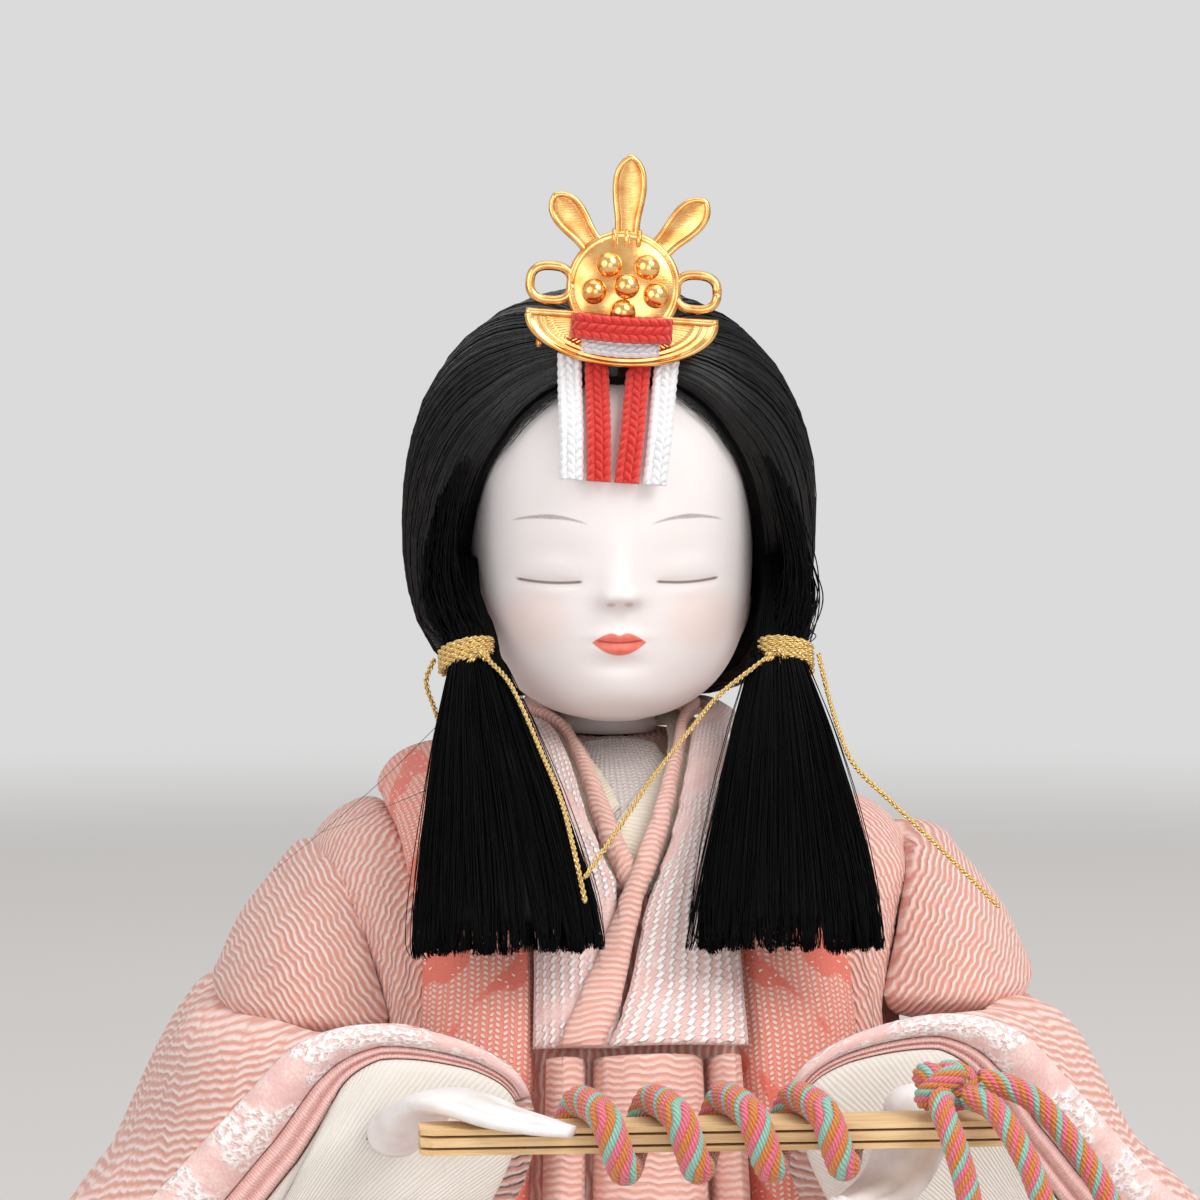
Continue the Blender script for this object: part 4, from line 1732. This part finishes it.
def make_crown():
    """Gilt crown of disc, crescent, prongs, bosses, loops and two pins."""
    half_turn, turn = np.linspace(math.pi, 2 * math.pi, 150), np.linspace(0, 2 * math.pi * 179 / 180, 180)
    shells = [polar_plate(CRESCENT_LEVEL, CRESCENT_HALF, CRESCENT_LEVEL, half_turn, crescent_relief),
              polar_plate(DISC_LEVEL, DISC_RADIUS, DISC_RADIUS, turn, disc_relief)]
    top = [(x, -0.0004, CRESCENT_LEVEL + 0.0002) for x in np.linspace(-0.0111, 0.0111, 40)]
    shells.append(tube_rings(top, 0.00048, 10))
    for degrees, share in ((-40, 0.78), (0, 1.0), (40, 0.84)):
        shells += prong_shells(PRONG_LENGTH * share, math.radians(degrees))
    for x, z in BOSS_SHARES:
        depth = PLATE_HALF + DISC_DOME * (1 - x * x - z * z)
        shells.append(blob((x * DISC_RADIUS, -depth, z * DISC_RADIUS + DISC_LEVEL), BOSS_SIZES, 16, 28))
    for x in (-0.0013, 0.0, 0.0013):
        line = [(x, -0.0006, 0.0136), (x * 1.1, -0.0010, 0.0149), (x * 1.1, -0.0004, 0.0158)]
        shells.append(tube_rings(spline(line, 5), 0.00032, 8))
    for side in (-1, 1):
        middle = side * (DISC_RADIUS + 0.0048 * 0.38)
        loop = [(x + middle, -0.0002, z + DISC_LEVEL) for x, z in oval(0.0024, 0.0020, 0.0020, 40, 2.6)]
        shells.append(tube_rings(loop + loop[:1], 0.00055, 10))
        pin = [(side * 0.009, 0.0, 0.0042), (side * 0.009, 0.0042, 0.0042), (side * 0.009, 0.0052, -0.0008)]
        shells.append(tube_rings(spline(pin, 6), 0.0006, 8))
    made = joined("gilt_crown", [crown_place(shell) for shell in shells], [LOOKS["gold"]])
    place(made, "crown", "gold", "crown_plate")


def plaited(line, wide, out, half, thick, pitch):
    """Rings of a flat braid along a line: three columns of slanted stitches on its front."""
    wide, out = np.array(wide, float), np.array(out, float)
    across = np.linspace(-1, 1, 41)
    column = np.minimum(((across + 1) * 1.5).astype(int), 2)
    part = (across + 1) * 1.5 - column
    lean = np.where(column % 2 == 0, part, 1 - part) * 0.7 + column * 0.5
    body = np.sin(math.pi * part) ** 0.6
    edge = (1 - across**6) ** 0.5
    rings = []
    for spot, far in zip(line, distances(line)):
        stitch = np.abs(np.sin(math.pi * (far / pitch + lean)))
        rise = thick * (0.25 + 0.15 * body + 0.60 * stitch**0.6 * body) * edge
        spread = half * (1 + 0.03 * math.sin(far / pitch * 2 * math.pi))
        front = spot + wide * (across * spread)[:, None] + out * rise[:, None]
        back = spot + wide * (across[::-1] * spread)[:, None] - out * (edge * thick * 0.35)[:, None]
        rings.append(np.concatenate([front, back]))
    return np.array(rings)


BRAID_STEPS, STRAP_FOOT = 150, -0.0135
STRAP_HALF, STRAP_THICK, STRAP_PITCH = 0.00142, 0.0011, 0.00105
TURN_THICK, TURN_PITCH = 0.0012, 0.0011


def braid_strap(top_x, foot_x, level_up):
    """A braid that comes out below the crescent and lies on the forehead."""
    rear = PLATE_HALF + 0.0001 + GAP + CORD_LAYER
    top = level_up + 0.00075
    line = []
    for share in np.linspace(0, 1, BRAID_STEPS):
        z = top + (STRAP_FOOT - top) * share
        eased = min(max(-z / 0.0090, 0), 1)
        line.append((top_x + (foot_x - top_x) * share, rear - 0.0034 * eased * eased * (3 - 2 * eased), z))
    return plaited(line, (1, 0, 0), FORWARD, STRAP_HALF, STRAP_THICK, STRAP_PITCH)


def braid_turn(half, level_up, height, forward, bow):
    """A braid laid across the crescent, bowed forwards, with its ends turned back."""
    line = []
    for share in np.linspace(-1, 1, BRAID_STEPS):
        bulge = 1 - share * share
        depth = forward + bow * bulge + 0.0003 - 0.0008 * max(0, abs(share) - 0.9) * 10
        line.append((half * share, -depth, level_up - 0.0004 * bulge))
    return plaited(line, (0, 0, 1), FORWARD, height / 2, TURN_THICK, TURN_PITCH)


BRAIDS = (
    ("red", 0.0026, 0.0016, 0.0022, 0.0043, 0.0058, 0.0030, 1, 0.0012),
    ("white", 0.0059, 0.0048, 0.0048, 0.0024, 0.0045, 0.0020, 0, 0.0),
)


def make_braids():
    """Red and white cords: four flat ends, and the braids across the crescent."""
    for colour, top, foot, strap_level, turn_level, half, height, layer, bow in BRAIDS:
        ends = [braid_strap(side * top, side * foot, strap_level) for side in (-1, 1)]
        made = joined(colour + "_plait", [crown_place(end) for end in ends], [LOOKS[colour + "_cord"]])
        place(made, "crown", colour + "_cord", colour + "_braid")
        forward = PLATE_HALF + GAP + layer * (CORD_LAYER + GAP)
        turn = crown_place(braid_turn(half, turn_level, height, forward, bow))
        made = joined(colour + "_turns", [turn], [LOOKS[colour + "_cord"]])
        place(made, "crown", colour + "_cord", colour + "_wrap")


# Fan and hands


FAN = np.array([0, -0.0750, 0.0694])
KNOT = np.array([0.0286, 0, 0])
WOUND_RADIUS, WOUND_TURNS, WOUND_STEPS, WOUND_START, WOUND_PITCH = 0.0018, 4, 48, -0.0118, 0.0079
KNOT_RADIUS, TAIL_RADIUS = 0.0014, 0.0014
FRINGE_HAIRS, FRINGE_LENGTH, FRINGE_RADIUS = 60, 0.0055, 0.00011


def mixed_cord(name, line, radius):
    """A cord of eight plies in three colours."""
    plies = [LOOKS[k] for k in ("ply_mint", "ply_pink", "ply_orange")]
    return joined(name, twisted(line, radius, 8, radius * 5.0, 10, 0.31), plies, [0, 1, 2, 1, 0, 2, 1, 2])


def winding_points():
    """Middle line of the cord wound round the fan."""
    turn = np.arange(WOUND_TURNS * WOUND_STEPS + 1) / WOUND_STEPS
    c, s = np.cos(2 * math.pi * turn), np.sin(2 * math.pi * turn)
    y = 0.0035 * np.sign(c) * np.minimum(1, np.abs(c) * 1.5) + 0.0019 * c
    z = 0.0014 * np.sign(s) * np.minimum(1, np.abs(s) * 1.5) + 0.0019 * s
    return FAN + np.column_stack([WOUND_START + WOUND_PITCH * turn, y, z])


def knot_points():
    """Middle line of the knot at the fan's right end."""
    turn = 2 * math.pi * np.arange(161) / 160
    far = 2 + np.cos(3 * turn)
    knot = np.column_stack([far * np.cos(2 * turn), far * np.sin(2 * turn) * 0.9, np.sin(3 * turn) * 1.3]) / 3
    return knot * np.array([0.0026, 0.0020, 0.0030]) + FAN + KNOT + np.array([0, 0, 0.0047])


def fringe_threads(end, own):
    """Threads that hang from a cord's end."""
    threads = []
    for _ in range(FRINGE_HAIRS):
        angle, far = own.random() * 6.28, own.random() ** 0.5
        way = np.array([math.cos(angle) * far, math.sin(angle) * far, 0])
        away = way * 0.0010 - np.array([0, 0, FRINGE_LENGTH * (0.85 + 0.15 * own.random())])
        threads.append([end + way * 0.0009 + away * np.array([k, k, k**0.9]) for k in np.linspace(0, 1, 8)])
    return np.array(threads)


def make_fan_cord():
    """Many-coloured cord: wound round the fan, knotted, with three loose ends."""
    line = even(winding_points(), 420)
    made = mixed_cord("wound_cord", line, WOUND_RADIUS)
    place(made, "fan", "mixed_cord", "fan_cord_winding")
    made = mixed_cord("knotted_cord", knot_points(), KNOT_RADIUS)
    place(made, "fan", "mixed_cord", "fan_cord_knot")
    for number, (name, route) in enumerate(FAN_TAIL_ROUTES.items()):
        line = even(spline(np.array(route) + FAN + KNOT, 12), 110)
        made = mixed_cord("cord_" + name, line, TAIL_RADIUS)
        place(made, "fan", "mixed_cord", name)
        binding = blob(line[-1] + np.array([0, 0, 0.0004]), (0.0015, 0.0015, 0.0011))
        bind = joined("bind_" + name, [binding], [LOOKS["ply_pink"]])
        place(bind, "fan", "mixed_cord")
        threads = fringe_threads(line[-1], np.random.default_rng(400 + number))
        fringe = many_tubes("fringe_" + name, [(threads, FRINGE_RADIUS)], LOOKS["fringe"], 4)
        place(fringe, "fan", "mixed_cord")


HAND_HALF, HAND_THICK, FINGER_START = 0.0042, 0.0019, 0.42


def make_hands():
    """White hands: a palm behind the fan and closed fingers below it."""
    ring = oval(1, 1, 1, 40)
    furrows = np.abs(np.sin(2 * math.pi * (ring[:, 0] * 0.5 + 0.5))) ** 6
    for name, side in SIDES:
        rows = np.array(HAND_SHARES[name])
        middles = spline(body_points(rows[:, :3], side), 8)
        sizes = spline(np.column_stack([rows[:, 3:], np.zeros(len(rows))]), 8)
        run = unit(np.gradient(middles, axis=0))
        wide = unit(np.cross(run, np.array([0, 0, 1.0])))
        up = unit(np.cross(wide, run))
        rings = []
        for k, share in enumerate(np.linspace(0, 1, len(middles))):
            part = max(0, (share - FINGER_START) / (1 - FINGER_START))
            ridge = 1 - 0.34 * min(1, part * 3) * furrows
            low = min(1, k / 14) if side < 0 else 0
            half, thick = sizes[k, 0] * HAND_HALF, sizes[k, 1] * (HAND_THICK - 0.0004 * low)
            rings.append(middles[k] - np.array([0, 0, 0.0013 * low]) + wide[k] * (ring[:, 0] * half)[:, None]
                         + up[k] * (ring[:, 1] * thick * ridge)[:, None])
        made = loft("hand_shell_" + name, rings, LOOKS["hand"])
        place(made, "figure", "hand", "hand_" + name)


KEPT_LOOKS = {"base_felt": "felt", "base_board": "board", "straw_core": "straw", "arm_wire_left": "wire",
              "arm_wire_right": "wire", "head_peg": "board", "neck_wrap": "paper", "fan_guard_lower": "wood",
              "fan_blades": "wood", "fan_guard_upper": "wood"}


def dress_kept():
    """Materials of the solids that stay in view."""
    for name, look in KEPT_LOOKS.items():
        mesh = bpy.data.objects[name].data
        mesh.materials.clear()
        mesh.materials.append(LOOKS[look])


# Table, lights and camera


BACKDROP = srgb(219, 219, 219)
FLOOR_EDGES = (-6.0, -2.0, -0.8, 0.0, 0.8, 2.0, 6.0)
LIGHTS = (
    ("key", (0.60, -0.70, 0.95), 0.8, 9.6, (1.0, 0.99, 0.975)),
    ("fill", (-0.85, -0.80, 0.50), 1.1, 5.4, (0.985, 0.99, 1.0)),
    ("front", (0.15, -1.25, 0.22), 0.7, 2.3, (1.0, 1.0, 1.0)),
    ("top", (0.10, 0.15, 1.15), 1.2, 5.0, (1.0, 1.0, 1.0)),
)
LIGHTS_AIM = (0, 0, 0.08)
ROOM_STRENGTH = 0.40
CAMERA_PLACE, CAMERA_AIM = (-0.0758, -0.7121, 0.1948), (-0.001, 0, 0.1195)
CAMERA_LENS, CAMERA_FILM = 181, 36


def seen_directly(tree):
    """Two values of a ray: 1 where the camera sees it, and 1 where a glossy reflection does."""
    rays = tree.nodes.new("ShaderNodeLightPath")
    return Value(tree, rays.outputs["Is Camera Ray"]), Value(tree, rays.outputs["Is Glossy Ray"])


def aimed(made, spot, aim):
    """A camera or light put at a place, looking at another."""
    bpy.context.scene.collection.objects.link(made)
    made.location = spot
    made.rotation_euler = (Vector(aim) - Vector(spot)).to_track_quat("-Z", "Y").to_euler()
    return made


def make_floor():
    """Pale table that passes into the backdrop's tone all round."""
    rings = [[(x, y, 0.0) for x in FLOOR_EDGES] for y in FLOOR_EDGES]
    look = Look("table", 0.9)
    x, y, z = look.place()
    cloud = look.noise((x * 0.004, y * 0.004, z * 0.004))
    far = (x * x + y * y).op("SQRT").step(600.0, 820.0) * seen_directly(look.tree)[0]
    table = look.mix(srgb(203, 200, 198), srgb(208, 205, 203), cloud)
    look.paint(look.mix(table, (0.0, 0.0, 0.0, 1.0), far))
    look.shader.inputs["Emission Color"].default_value = BACKDROP
    look.tree.links.new(far.socket, look.shader.inputs["Emission Strength"])
    look.tree.links.new((far * -0.5 + 0.5).socket, look.shader.inputs["Specular IOR Level"])
    return loft("table_top", rings, look.material, closed=False)


def make_light(name, spot, size, power, colour):
    """A round soft light that looks at the doll."""
    data = bpy.data.lights.new(name, "AREA")
    data.shape = "DISK"
    data.size = size
    data.energy = power
    data.color = colour
    return aimed(bpy.data.objects.new(name + "_light", data), spot, LIGHTS_AIM)


def make_room():
    """White light all round; the camera and reflections see the plain backdrop instead."""
    world = bpy.data.worlds.new("room")
    bpy.context.scene.world = world
    world.use_nodes = True
    tree = world.node_tree
    room = tree.nodes["Background"]
    room.inputs["Color"].default_value = (1.0, 1.0, 1.0, 1.0)
    room.inputs["Strength"].default_value = ROOM_STRENGTH
    seen = tree.nodes.new("ShaderNodeBackground")
    seen.inputs["Color"].default_value = BACKDROP
    camera, glossy = seen_directly(tree)
    both = tree.nodes.new("ShaderNodeMixShader")
    tree.links.new((camera + glossy).op("MINIMUM", 1.0).socket, both.inputs[0])
    tree.links.new(room.outputs[0], both.inputs[1])
    tree.links.new(seen.outputs[0], both.inputs[2])
    tree.links.new(both.outputs[0], tree.nodes["World Output"].inputs["Surface"])
    bpy.context.scene.view_settings.view_transform = "Standard"


def make_camera():
    """Camera at the photograph's angle."""
    data = bpy.data.cameras.new("photo")
    data.lens, data.sensor_width = CAMERA_LENS, CAMERA_FILM
    bpy.context.scene.camera = aimed(bpy.data.objects.new("photo_camera", data), CAMERA_PLACE, CAMERA_AIM)


make_camera()
make_gold_tails()
make_fan_cord()
trunk = Surface(trunk_rings(6, 120))
make_robe()
make_collars(trunk)
make_coat(trunk)
make_sleeves(trunk)
make_lap(trunk)
make_hem()
make_trousers()
make_train()
make_hair(make_head())
make_locks()
make_back_hair()
make_strays()
make_crown()
make_braids()
make_hands()
dress_kept()
lights = [make_light(*row) for row in LIGHTS]
make_floor()
make_room()
bpy.context.view_layer.update()
